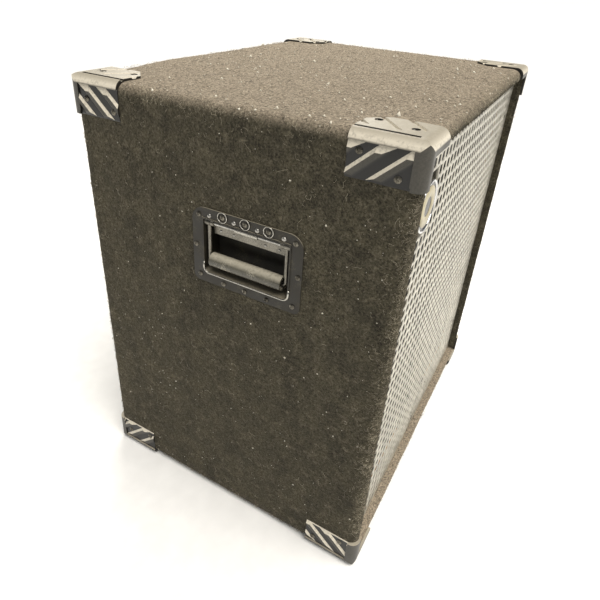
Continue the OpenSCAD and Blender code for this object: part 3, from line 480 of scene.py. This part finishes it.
loop = border_loop()
ring = [point_index((x, low[1], z)) for x, z in loop]
all_points = [tuple(p) for p in wrap_surface]
mid_z = (pocket_z[0] + pocket_z[1]) / 2
for depth, inset in ((0.8, 0.9), (2.4, 1.5), (6.0, 1.6), (11.0, 1.4), (17.0, 1.5), (24.0, 1.4)):
    fresh = []
    for (x, z), index in zip(loop, ring):
        wobble = 0.35 * noise.noise(Vector((x * 90, depth * 0.3, z * 90)))
        pull = (inset + wobble - 1.5) * MM
        side = np.sign(x) if abs(abs(x) - pocket_x) < 1e-6 else 0
        rise = np.sign(z - mid_z) if min(abs(z - pocket_z[0]), abs(z - pocket_z[1])) < 1e-6 else 0
        all_points.append((x - side * pull, low[1] + depth * MM, z - rise * pull))
        fresh.append(len(all_points) - 1)
    count = len(ring)
    for i in range(count):
        wrap_faces.append((ring[i], ring[(i + 1) % count], fresh[(i + 1) % count], fresh[i]))
    ring = fresh
wrap = mesh_piece("carpet_wrap_cloth", all_points, wrap_faces, carpet)
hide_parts("carpet_wrap")

# %% [markdown]
# The back panel has its own piece of the same carpet, cut a little small so that it
# can be unscrewed. Its rim is turned in where the cloth was trimmed.

# %% Back carpet
JACK_HOLE = (66 * MM, 47 * MM)


def sheet_grid(name, a, b, y, hole):
    us, vs = steps(a[0], b[0]), steps(a[2], b[2])
    points, faces = [], []
    for u in us:
        for v in vs:
            rim = min(u - a[0], b[0] - u, v - a[2], b[2] - v)
            drop = 1.8 * MM * math.exp(-rim / (1.2 * MM))
            bump = noise.noise(Vector((u * 14, 5, v * 14))) * 0.4
            bump += noise.noise(Vector((u * 80, 9, v * 80))) * 0.3
            points.append((u, y - drop + bump * MM * min(1, rim / (6 * MM)), v))
    rows = len(vs)
    for i in range(len(us) - 1):
        for j in range(rows - 1):
            u, v = (us[i] + us[i + 1]) / 2, (vs[j] + vs[j + 1]) / 2
            if abs(u - hole[0]) < JACK_HOLE[0] and abs(v - hole[2]) < JACK_HOLE[1]:
                continue
            faces.append((i * rows + j, i * rows + j + 1, (i + 1) * rows + j + 1, (i + 1) * rows + j))
    return mesh_piece(name, points, faces, carpet)


back_cloth = sheet_grid("back_carpet_cloth", back_low, back_high, back_high[1] - 0.2 * MM, jack_mid)
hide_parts("back_carpet")

# %% [markdown]
# Loose fibres are what make felt look like felt. Each is a thin three-sided tube
# along a short crimped path that starts on the surface and curls over it. All of a
# kind are one mesh, built with arrays, so thousands cost little.

# %% Fibre builder
def tubes(starts, normals, rng, length, height, radius, crimp, sections=7):
    """Crimped fibres from starts, lying mostly along the surface."""
    count = len(starts)
    spread = rng.normal(size=(count, 3))
    along = spread - normals * np.sum(spread * normals, axis=1, keepdims=True)
    along /= np.linalg.norm(along, axis=1, keepdims=True)
    across = np.cross(normals, along)
    size = length * rng.uniform(0.5, 1.5, (count, 1))
    curl = rng.uniform(-crimp, crimp, (count, 1))
    loft = height * rng.uniform(0.2, 1.0, (count, 1))
    wobble = rng.uniform(-0.5, 0.5, (count, 1))
    path = []
    for t in np.linspace(0, 1, sections):
        turn = curl * t
        step = along * np.sin(turn + 1e-3) / (curl + 1e-3) + across * (1 - np.cos(turn)) / (curl + 1e-3)
        sway = across * wobble * 0.25 * math.sin(3 * math.pi * t)
        rise = normals * loft * math.sin(math.pi * min(1, 0.15 + t))
        path.append(starts + (step + sway) * size + rise)
    path = np.stack(path, axis=1)
    rim = []
    for k in range(3):
        angle = 2 * math.pi * k / 3
        rim.append(path + (across * math.cos(angle) + normals * math.sin(angle))[:, None, :] * radius)
    points = np.stack(rim, axis=2).reshape(-1, 3)
    base = np.arange(count)[:, None, None] * sections * 3
    step_index = np.arange(sections - 1)[None, :, None] * 3
    k = np.arange(3)[None, None, :]
    a = base + step_index + k
    b = base + step_index + (k + 1) % 3
    faces = np.stack([a, b, b + 3, a + 3], axis=-1).reshape(-1, 4)
    return points, faces


def clear_of_fittings(p):
    """Keeps only points on bare carpet, clear of protectors, dishes and the pocket."""
    to_side = half[0] - np.abs(p[:, 0] - centre[0])
    to_face = half[1] - np.abs(p[:, 1] - centre[1])
    to_end = half[2] - np.abs(p[:, 2] - centre[2])
    under_corner = (to_side < 75 * MM) & (to_face < 79 * MM) & (to_end < 48 * MM)
    on_flank = to_side < 3 * MM
    under_dish = on_flank & (np.abs(p[:, 1] - dish_mid[1]) < 77 * MM) \
        & (np.abs(p[:, 2] - dish_mid[2]) < 52 * MM)
    on_back = (to_face < 3 * MM) & (p[:, 1] > 0)
    under_jack = on_back & (np.abs(p[:, 0]) < 76 * MM) & (np.abs(p[:, 2] - jack_mid[2]) < 57 * MM)
    in_pocket = (p[:, 1] < low[1] + 2 * MM) & (np.abs(p[:, 0]) < pocket_x) \
        & (p[:, 2] > pocket_z[0]) & (p[:, 2] < pocket_z[1])
    return ~(under_corner | under_dish | under_jack | in_pocket)


def scatter(rng, count, faces=("left", "right", "top", "back", "front", "bottom")):
    """Random points and normals over the named faces of the carpet box, by area."""
    spans = high - low
    area = {"left": spans[1] * spans[2], "right": spans[1] * spans[2], "back": spans[0] * spans[2],
            "front": spans[0] * spans[2], "top": spans[0] * spans[1], "bottom": spans[0] * spans[1]}
    share = np.array([area[f] for f in faces])
    picked = rng.choice(len(faces), count, p=share / share.sum())
    p = low + rng.uniform(size=(count, 3)) * spans
    fixed = {"left": (0, low[0]), "right": (0, high[0]), "back": (1, high[1]),
             "front": (1, low[1]), "top": (2, high[2]), "bottom": (2, low[2])}
    for i, f in enumerate(faces):
        axis, value = fixed[f]
        p[picked == i, axis] = value
    p, n = rounded(p)
    keep = clear_of_fittings(p)
    return p[keep], n[keep]


print("fibre builder ready")

# %% [markdown]
# Three layers of fibre: a dense short nap in the carpet's own colours, longer
# stray hairs, and paler ones that have worked loose. Short naps are thicker than
# life, 0.26 mm, because a real fibre of 0.05 mm would not show at all.

# %% Nap and stray fibres
rng = np.random.default_rng(41)
for name, count, length, height, radius, crimp, stuff in (
        ("carpet_nap", 26000, 3.2, 0.9, 0.13, 2.5, fibre),
        ("stray_fibres", 3600, 9.0, 2.2, 0.13, 4.5, fibre),
        ("loose_pale_fibres", 1300, 10.0, 2.4, 0.14, 6.0, pale_fibre)):
    p, n = scatter(rng, count)
    points, faces = tubes(p, n, rng, length * MM, height * MM, radius * MM, crimp)
    mesh_piece(name, points, faces, stuff)

# %% [markdown]
# Rounded edges wear first, so fibres stand up along them: most along the front
# upright edges and the front top edge, where hands and grille rub.

# %% Fuzz on the worn edges
def edge_points(rng, count, fixed, axis, spread_mm):
    """Points along one box edge: fixed gives two coordinates, axis runs free."""
    p = np.empty((count, 3))
    for k in range(3):
        if k == axis:
            p[:, k] = rng.uniform(low[k] + 46 * MM, high[k] - 46 * MM, count)
        else:
            value, inward = fixed[k]
            p[:, k] = value + inward * np.abs(rng.normal(0, spread_mm * MM, count))
    snap = rng.choice([k for k in range(3) if k != axis], count)
    for k in fixed:
        p[snap == k, k] = fixed[k][0]
    p, n = rounded(p)
    keep = clear_of_fittings(p)
    return p[keep], n[keep]


edges = [
    ({0: (low[0], 1), 1: (low[1], 1)}, 2, 900), ({0: (high[0], -1), 1: (low[1], 1)}, 2, 600),
    ({1: (low[1], 1), 2: (high[2], -1)}, 0, 700), ({0: (low[0], 1), 2: (high[2], -1)}, 1, 500),
    ({0: (high[0], -1), 2: (high[2], -1)}, 1, 400), ({1: (high[1], -1), 2: (high[2], -1)}, 0, 400),
    ({0: (low[0], 1), 1: (high[1], -1)}, 2, 300), ({0: (high[0], -1), 1: (high[1], -1)}, 2, 300),
    ({0: (low[0], 1), 2: (low[2], 1)}, 1, 300), ({0: (high[0], -1), 2: (low[2], 1)}, 1, 300),
    ({1: (low[1], 1), 2: (low[2], 1)}, 0, 300),
]
starts, normals = [], []
for fixed, axis, count in edges:
    p, n = edge_points(rng, count, fixed, axis, 9)
    starts.append(p)
    normals.append(n)
starts, normals = np.concatenate(starts), np.concatenate(normals)
points, faces = tubes(starts, normals, rng, 5.0 * MM, 2.4 * MM, 0.12 * MM, 5.0)
mesh_piece("edge_fuzz", points, faces, pale_fibre)

# %% [markdown]
# Lint: specks of white fluff, from under half a millimetre to over one, pressed
# into the felt. Each is a small octahedron whose corners reach out unevenly.

# %% Lint specks
corner = np.array([(1, 0, 0), (-1, 0, 0), (0, 1, 0), (0, -1, 0), (0, 0, 1), (0, 0, -1)], float)
faces8 = np.array([(0, 2, 4), (2, 1, 4), (1, 3, 4), (3, 0, 4), (2, 0, 5), (1, 2, 5), (3, 1, 5), (0, 3, 5)])
for name, count, where, mean in (
        ("lint_specks", 1700, ("left", "right", "top", "back"), 0.17),
        ("lint_fluff_on_top", 420, ("top",), 0.36)):
    p, n = scatter(rng, count, where)
    size = rng.gamma(2.0, mean, (len(p), 1, 1)) * MM + 0.12 * MM
    shape = corner[None] * size * rng.uniform(0.5, 1.6, (len(p), 6, 1))
    points = (p + n * 0.5 * MM)[:, None, :] + shape
    faces = (faces8[None] + (np.arange(len(p)) * 6)[:, None, None]).reshape(-1, 3)
    mesh_piece(name, points.reshape(-1, 3), faces, lint)

# %% [markdown]
# The grille is one steel sheet with rows of square holes, folded back all round.
# Each cell of the grid is built as rings of twelve points: the cell's border, three
# that roll the front edge over into the hole, and two at the back. Neighbouring
# cells share their border points, so the sheet is one closed skin. Cells behind
# the badge are left out to make its notch.

# %% Perforated grille
g_low, g_high = (np.array(c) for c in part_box("grille"))
b_low, b_high = (np.array(c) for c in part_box("badge"))
b_mid = (b_low + b_high) / 2
SHEET = 1.2 * MM
PITCH = 15.0 * MM
HOLE = 10.4 * MM
ROUND = 2.6 * MM
BORDER = 5 * MM
span_x, span_z = g_high[0] - g_low[0], g_high[2] - g_low[2]
cols = int((span_x - 2 * BORDER) / PITCH)
rows = int((span_z - 2 * BORDER) / PITCH)
pitch_x = (span_x - 2 * BORDER) / cols
pitch_z = (span_z - 2 * BORDER) / rows
NOTCH_HALF = 35 * MM
notch_cols = [i for i in range(cols)
              if abs(g_low[0] + BORDER + (i + 0.5) * pitch_x - b_mid[0]) < NOTCH_HALF]
notch_rows = [j for j in range(rows)
              if abs(g_low[2] + BORDER + (j + 0.5) * pitch_z - b_mid[2]) < NOTCH_HALF]
grille_points, grille_faces, grille_known = [], [], {}


def sheet_point(x, y, z):
    key = (round(x * 1e6), round(y * 1e6), round(z * 1e6))
    if key not in grille_known:
        grille_known[key] = len(grille_points)
        bow = 0.5 * MM * noise.noise(Vector((x * 7, 2.0, z * 7)))
        grille_points.append((x, y + bow, z))
    return grille_known[key]


def square_ring(cx, cz, w, h, r, y):
    """Twelve points round a rounded rectangle: three at each corner."""
    out = []
    for sx, sz in ((1, 1), (-1, 1), (-1, -1), (1, -1)):
        first = (sx * (w / 2), sz * (h / 2 - r))
        middle = (sx * (w / 2 - 0.29 * r), sz * (h / 2 - 0.29 * r))
        last = (sx * (w / 2 - r), sz * (h / 2))
        three = [first, middle, last] if sx * sz > 0 else [last, middle, first]
        out += [sheet_point(cx + a, y, cz + b) for a, b in three]
    return out


def cell_ring(cx, cz, y, knob):
    """Twelve border points of one cell, in step with its hole's ring."""
    out = []
    for sx, sz in ((1, 1), (-1, 1), (-1, -1), (1, -1)):
        first = (sx * pitch_x / 2, sz * (HOLE / 2 - ROUND))
        corner_at = (sx * pitch_x / 2, sz * pitch_z / 2)
        last = (sx * (HOLE / 2 - ROUND), sz * pitch_z / 2)
        three = [first, corner_at, last] if sx * sz > 0 else [last, corner_at, first]
        proud = (0, knob, 0)
        out += [sheet_point(cx + a, y - p, cz + b) for (a, b), p in zip(three, proud)]
    return out


front = g_low[1]
for i in range(cols):
    for j in range(rows):
        if i in notch_cols and j in notch_rows:
            continue
        cx = g_low[0] + BORDER + (i + 0.5) * pitch_x
        cz = g_low[2] + BORDER + (j + 0.5) * pitch_z
        rings_here = [
            cell_ring(cx, cz, front + 0.4 * MM, 0.4 * MM),
            square_ring(cx, cz, HOLE + 2.0 * MM, HOLE + 2.0 * MM, ROUND + 1.0 * MM, front + 0.35 * MM),
            square_ring(cx, cz, HOLE + 0.5 * MM, HOLE + 0.5 * MM, ROUND + 0.25 * MM, front + 0.65 * MM),
            square_ring(cx, cz, HOLE, HOLE, ROUND, front + 1.0 * MM),
            square_ring(cx, cz, HOLE, HOLE, ROUND, front + SHEET),
            cell_ring(cx, cz, front + SHEET, 0),
        ]
        for outer, inner in zip(rings_here, rings_here[1:]):
            for k in range(12):
                m = (k + 1) % 12
                grille_faces.append((outer[m], outer[k], inner[k], inner[m]))
print("grille", cols, "x", rows, "holes, pitch", round(pitch_x / MM, 2), round(pitch_z / MM, 2), "mm")

# %% [markdown]
# Round the field of holes the sheet is plain, then bends back over a 3 mm radius
# into a flange. The same strip in small closes the notch.

# %% Border and folded flange
def frame_strip(x0, x1, z0, z1, outward, levels):
    """Rings of a rectangle; each level is (distance outward, y)."""
    rings_made = []
    for out, y in levels:
        a, b, c, d = x0 - outward * out, x1 + outward * out, z0 - outward * out, z1 + outward * out
        rings_made.append([sheet_point(*at) for at in ((a, y, c), (b, y, c), (b, y, d), (a, y, d))])
    for outer, inner in zip(rings_made, rings_made[1:]):
        for k in range(4):
            m = (k + 1) % 4
            quad = (outer[k], outer[m], inner[m], inner[k])
            grille_faces.append(quad if outward > 0 else quad[::-1])


field = (g_low[0] + BORDER, g_high[0] - BORDER, g_low[2] + BORDER, g_high[2] - BORDER)
bend = [(BORDER - 3 * MM + 3 * MM * math.sin(a), front + 0.25 * MM + 3 * MM * (1 - math.cos(a)))
        for a in np.radians(range(0, 91, 15))]
frame_strip(*field, 1, [(0, front + 0.4 * MM)] + bend + [(BORDER, g_high[1])])
notch_box = (field[0] + notch_cols[0] * pitch_x, field[0] + (notch_cols[-1] + 1) * pitch_x,
             field[2] + notch_rows[0] * pitch_z, field[2] + (notch_rows[-1] + 1) * pitch_z)
frame_strip(*notch_box, -1, [(0, front + 0.4 * MM), (1.2 * MM, front + 0.4 * MM),
                             (1.6 * MM, front + 1.2 * MM), (1.6 * MM, front + 9 * MM)])
grille = mesh_piece("perforated_grille", grille_points, grille_faces, silver_lacquer)
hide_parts("grille")

# %% [markdown]
# The badge: a shallow dish with a chromed rim and an enamelled face of plain
# rings, standing on a post through the notch. A lathe profile turned round the
# post's axis makes each part.

# %% Badge
def lathe(name, profile, axis_at, material, segments=64):
    """Turns (radius, forward) points round an axis that points out of the front."""
    points, faces = [], []
    for k in range(segments):
        angle = 2 * math.pi * k / segments
        for r, forward in profile:
            points.append((axis_at[0] + r * math.cos(angle), axis_at[1] - forward,
                           axis_at[2] + r * math.sin(angle)))
    n = len(profile)
    for k in range(segments):
        m = (k + 1) % segments
        for i in range(n - 1):
            faces.append((k * n + i, m * n + i, m * n + i + 1, k * n + i + 1))
    return mesh_piece(name, points, faces, material)


badge_r = (b_high[2] - b_low[2]) / 2
badge_at = (b_mid[0], b_low[1] + 4 * MM, b_mid[2])
rim_profile = [(badge_r - 3 * MM, 2.6 * MM)]
rim_profile += [(badge_r - 1.5 * MM + 1.5 * MM * math.cos(a), 2.5 * MM + 1.5 * MM * math.sin(a))
                for a in np.radians(range(180, -91, -18))]
rim_profile += [(badge_r - 1 * MM, 0), (9 * MM, 0), (9 * MM, -16 * MM)]
badge_rim = lathe("badge_rim_and_post", rim_profile, badge_at, chrome)
face_y = 2.6 * MM
lathe("badge_black_field",
      [(badge_r - 2.6 * MM, face_y - 0.2 * MM), (badge_r - 6 * MM, face_y),
       (6 * MM, face_y + 0.4 * MM), (0.01 * MM, face_y + 0.5 * MM)],
      badge_at, black_enamel)
lathe("badge_cream_ring",
      [(badge_r - 6.5 * MM, face_y - 0.1 * MM), (badge_r - 7 * MM, face_y + 0.8 * MM),
       (12 * MM, face_y + 1.0 * MM), (11.4 * MM, face_y + 0.2 * MM)],
      badge_at, cream_enamel)
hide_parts("badge")

# %% [markdown]
# Each handle's torsion spring is a close helix of 1.4 mm wire round the hinge pin.
# A tube is swept along the helix: at each step a small circle stands square to the
# direction of travel.

# %% Spring coils
def sweep(path, radius, sides=8):
    """Tube of that radius along path, closed with flat ends."""
    path = np.array(path)
    points, faces = [], []
    tangents = np.gradient(path, axis=0)
    tangents /= np.linalg.norm(tangents, axis=1, keepdims=True)
    up = np.array([0.0, 0.0, 1.0]) if abs(tangents[0][2]) < 0.9 else np.array([1.0, 0.0, 0.0])
    for p, t in zip(path, tangents):
        side = np.cross(t, up)
        side /= np.linalg.norm(side)
        up = np.cross(side, t)
        for k in range(sides):
            angle = 2 * math.pi * k / sides
            points.append(p + radius * (math.cos(angle) * side + math.sin(angle) * up))
    for i in range(len(path) - 1):
        for k in range(sides):
            m = (k + 1) % sides
            faces.append((i * sides + k, (i + 1) * sides + k, (i + 1) * sides + m, i * sides + m))
    faces.append(tuple(range(sides)))
    faces.append(tuple((len(path) - 1) * sides + k for k in reversed(range(sides))))
    return points, faces


WIRE = 0.7 * MM
COIL_R = 3.15 * MM
STEPS_A_TURN = 18
for side in ("left", "right"):
    pin_low, pin_high = (np.array(c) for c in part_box(side + "_handle_pin"))
    spring_low, spring_high = (np.array(c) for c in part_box(side + "_handle_spring"))
    axis_x, axis_z = (pin_low[0] + pin_high[0]) / 2, (pin_low[2] + pin_high[2]) / 2
    inward = 1 if side == "left" else -1
    turns = int((spring_high[1] - spring_low[1]) / (2.08 * WIRE))
    coil = []
    last = turns * STEPS_A_TURN
    for i in range(last + 1):
        angle = 2 * math.pi * i / STEPS_A_TURN
        y = spring_low[1] + WIRE + (spring_high[1] - spring_low[1] - 2 * WIRE) * i / last
        coil.append((axis_x + COIL_R * math.sin(angle), y, axis_z + COIL_R * math.cos(angle)))
    end = np.array(coil[-1])
    coil += [tuple(end + np.array([inward * d * MM, 0, -0.4 * d * MM])) for d in (1.2, 2.4, 3.6)]
    points, faces = sweep(coil, WIRE)
    spring = mesh_piece(side + "_spring_coil", points, faces, worn_edge)
    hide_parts(side + "_handle_spring")

# %% [markdown]
# The pressed dish has a rolled lip round its opening. Hands have worn the lip
# bright along the bottom, so it is a bead of bare steel there.

# %% Worn lip of the dish
for side in ("left", "right"):
    d_low, d_high = (np.array(c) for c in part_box(side + "_handle_dish"))
    mid = (d_low + d_high) / 2
    face_x = d_low[0] + 0.5 * MM if side == "left" else d_high[0] - 0.5 * MM
    w, bottom, corner_r = 60.6 * MM, -36.8 * MM, 8 * MM
    path = [(face_x, mid[1] - w, mid[2] + bottom + corner_r + 7 * MM)]
    for start, cy in ((180, -w + corner_r), (270, w - corner_r)):
        for a in np.radians(np.arange(start, start + 91, 15)):
            path.append((face_x, mid[1] + cy + corner_r * math.cos(a),
                         mid[2] + bottom + corner_r + corner_r * math.sin(a)))
    path.append((face_x, mid[1] + w, mid[2] + bottom + corner_r + 7 * MM))
    points, faces = sweep(path, 1.25 * MM, 10)
    mesh_piece(side + "_dish_rolled_lip", points, faces, worn_edge)

# %% [markdown]
# The sheet is embossed in a ring round each of the three middle screws of the top
# row, 31.6 mm apart, and the rings' crests have lost their paint.

# %% Embossed rings
RING_R = 6.4 * MM
TOP_ROW_Z = 45 * MM
for side in ("left", "right"):
    d_low, d_high = (np.array(c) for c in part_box(side + "_handle_dish"))
    mid = (d_low + d_high) / 2
    face_x = d_low[0] if side == "left" else d_high[0]
    points, faces = [], []
    for along in (-31.6, 0, 31.6):
        turn = np.radians(np.arange(0, 361, 12))
        path = [(face_x, mid[1] + along * MM + RING_R * math.cos(a),
                 mid[2] + TOP_ROW_Z + RING_R * math.sin(a)) for a in turn]
        ring_points, ring_faces = sweep(path, 0.5 * MM, 6)
        faces += [tuple(i + len(points) for i in f) for f in ring_faces]
        points += ring_points
    mesh_piece(side + "_embossed_rings", points, faces, worn_edge)

# %% [markdown]
# Wadding inside the box, soft and uneven: a subdivided block whose faces are
# pushed in and out. It is only seen with the back off.

# %% Damping wadding
def wadding_block(a, b, seed):
    counts = [min(40, max(2, round((b[k] - a[k]) / (12 * MM)))) for k in range(3)]
    points, faces, index = [], [], {}

    def at(i, j, k):
        if (i, j, k) not in index:
            t = np.array([i / counts[0], j / counts[1], k / counts[2]])
            p = a + (b - a) * t
            middle = (a + b) / 2
            push = 0.5 + 0.5 * noise.noise(Vector(p * 40) + Vector((seed, 0, 0)))
            p = p + (middle - p) * 0.02 - (p - middle) * 0.03 * push
            index[(i, j, k)] = len(points)
            points.append(p)
        return index[(i, j, k)]

    for axis in range(3):
        u, v = [k for k in range(3) if k != axis]
        for end in (0, counts[axis]):
            for i in range(counts[u]):
                for j in range(counts[v]):
                    quad = []
                    for di, dj in ((0, 0), (1, 0), (1, 1), (0, 1)):
                        place = [0, 0, 0]
                        place[axis], place[u], place[v] = end, i + di, j + dj
                        quad.append(at(*place))
                    flip = (end == 0) == (axis != 1)
                    faces.append(quad[::-1] if flip else quad)
    return points, faces


pads_low, pads_high = (np.array(c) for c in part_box("damping_pads"))
floor_pad = (pads_low, np.array([pads_high[0], pads_low[1] + 200 * MM, pads_low[2] + 25 * MM]))
back_pad = (np.array([pads_low[0] + 15 * MM, pads_high[1] - 25 * MM, pads_high[2] - 170 * MM]),
            np.array([pads_high[0] - 15 * MM, pads_high[1], pads_high[2]]))
for number, (a, b) in enumerate((floor_pad, back_pad)):
    points, faces = wadding_block(a, b, number * 7.0)
    pad = mesh_piece(f"wadding_pad_{number + 1}", points, faces, wadding_fibre)
    if number == 0:
        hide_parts("damping_pads")

# %% [markdown]
# Camera. A phone held at head height of a seated person, close to the cabinet and
# a little over its left side: 31 mm lens on a full frame, tilted 3 degrees. The
# shift only slides the view sideways and up.

# %% Camera
camera_data = bpy.data.cameras.new("camera")
camera = bpy.data.objects.new("camera", camera_data)
bpy.context.scene.collection.objects.link(camera)
eye = Vector((-0.7300, -0.3310, 0.7526))
aim = Vector((-0.0369, 0.0437, 0.3140))
roll = math.radians(3.34)
forward = (aim - eye).normalized()
right = forward.cross(Vector((0, 0, 1))).normalized()
up = right.cross(forward)
tilted_right = right * math.cos(roll) + up * math.sin(roll)
tilted_up = up * math.cos(roll) - right * math.sin(roll)
turn = Matrix((tilted_right, tilted_up, -forward)).transposed().to_4x4()
camera.matrix_world = Matrix.Translation(eye) @ turn
camera_data.lens = 31.09
camera_data.sensor_width = 36
camera_data.shift_x = 0.019
camera_data.shift_y = -0.0735
camera_data.clip_start = 0.01
bpy.context.scene.camera = camera

# %% [markdown]
# A plain pale floor and soft light: a sun 50 degrees wide, high up in front and to
# the left, lights the top and the grille. A warm panel behind the right side lifts
# the far edges, and a dim even surround fills the shadows.

# %% Floor and light
def area_light(name, place, target, size, power, tint="#ffffff"):
    data = bpy.data.lights.new(name, "AREA")
    data.shape = "RECTANGLE"
    data.size, data.size_y = size
    data.energy = power
    data.color = tone(tint)[:3]
    lamp = bpy.data.objects.new(name, data)
    lamp.location = place
    lamp.rotation_euler = (Vector(target) - Vector(place)).to_track_quat("-Z", "Y").to_euler()
    bpy.context.scene.collection.objects.link(lamp)


area_light("back_right_panel", (1.3, 1.0, 1.75), (0, 0, 0.62), (1.2, 0.8), 30, "#fffaf0")

sun_data = bpy.data.lights.new("high_soft_sun", "SUN")
sun_data.energy = 3.9
sun_data.angle = math.radians(50)
sun_data.color = tone("#fffaf2")[:3]
sun = bpy.data.objects.new("high_soft_sun", sun_data)
sun.rotation_euler = Vector((0.16, 0.5, -1.0)).to_track_quat("-Z", "Y").to_euler()
bpy.context.scene.collection.objects.link(sun)

world = bpy.data.worlds.new("surround")
bpy.context.scene.world = world
world.use_nodes = True
world.node_tree.nodes["Background"].inputs["Color"].default_value = tone("#f4f6f8")
world.node_tree.nodes["Background"].inputs["Strength"].default_value = 0.22

floor_finish = finish("pale_studio_floor", "#f2f2f1", "#f8f8f7", 60.0, 0.8, 0.01)[0]
floor_mesh = bpy.data.meshes.new("studio_floor")
reach = 60.0
floor_mesh.from_pydata([(-reach, -reach, 0), (reach, -reach, 0), (reach, reach, 0), (-reach, reach, 0)],
                       [], [(0, 1, 2, 3)])
floor_mesh.materials.append(floor_finish)
floor = bpy.data.objects.new("studio_floor", floor_mesh)
bpy.context.scene.collection.objects.link(floor)
bpy.context.scene.view_settings.view_transform = "Standard"
print("scene lit")
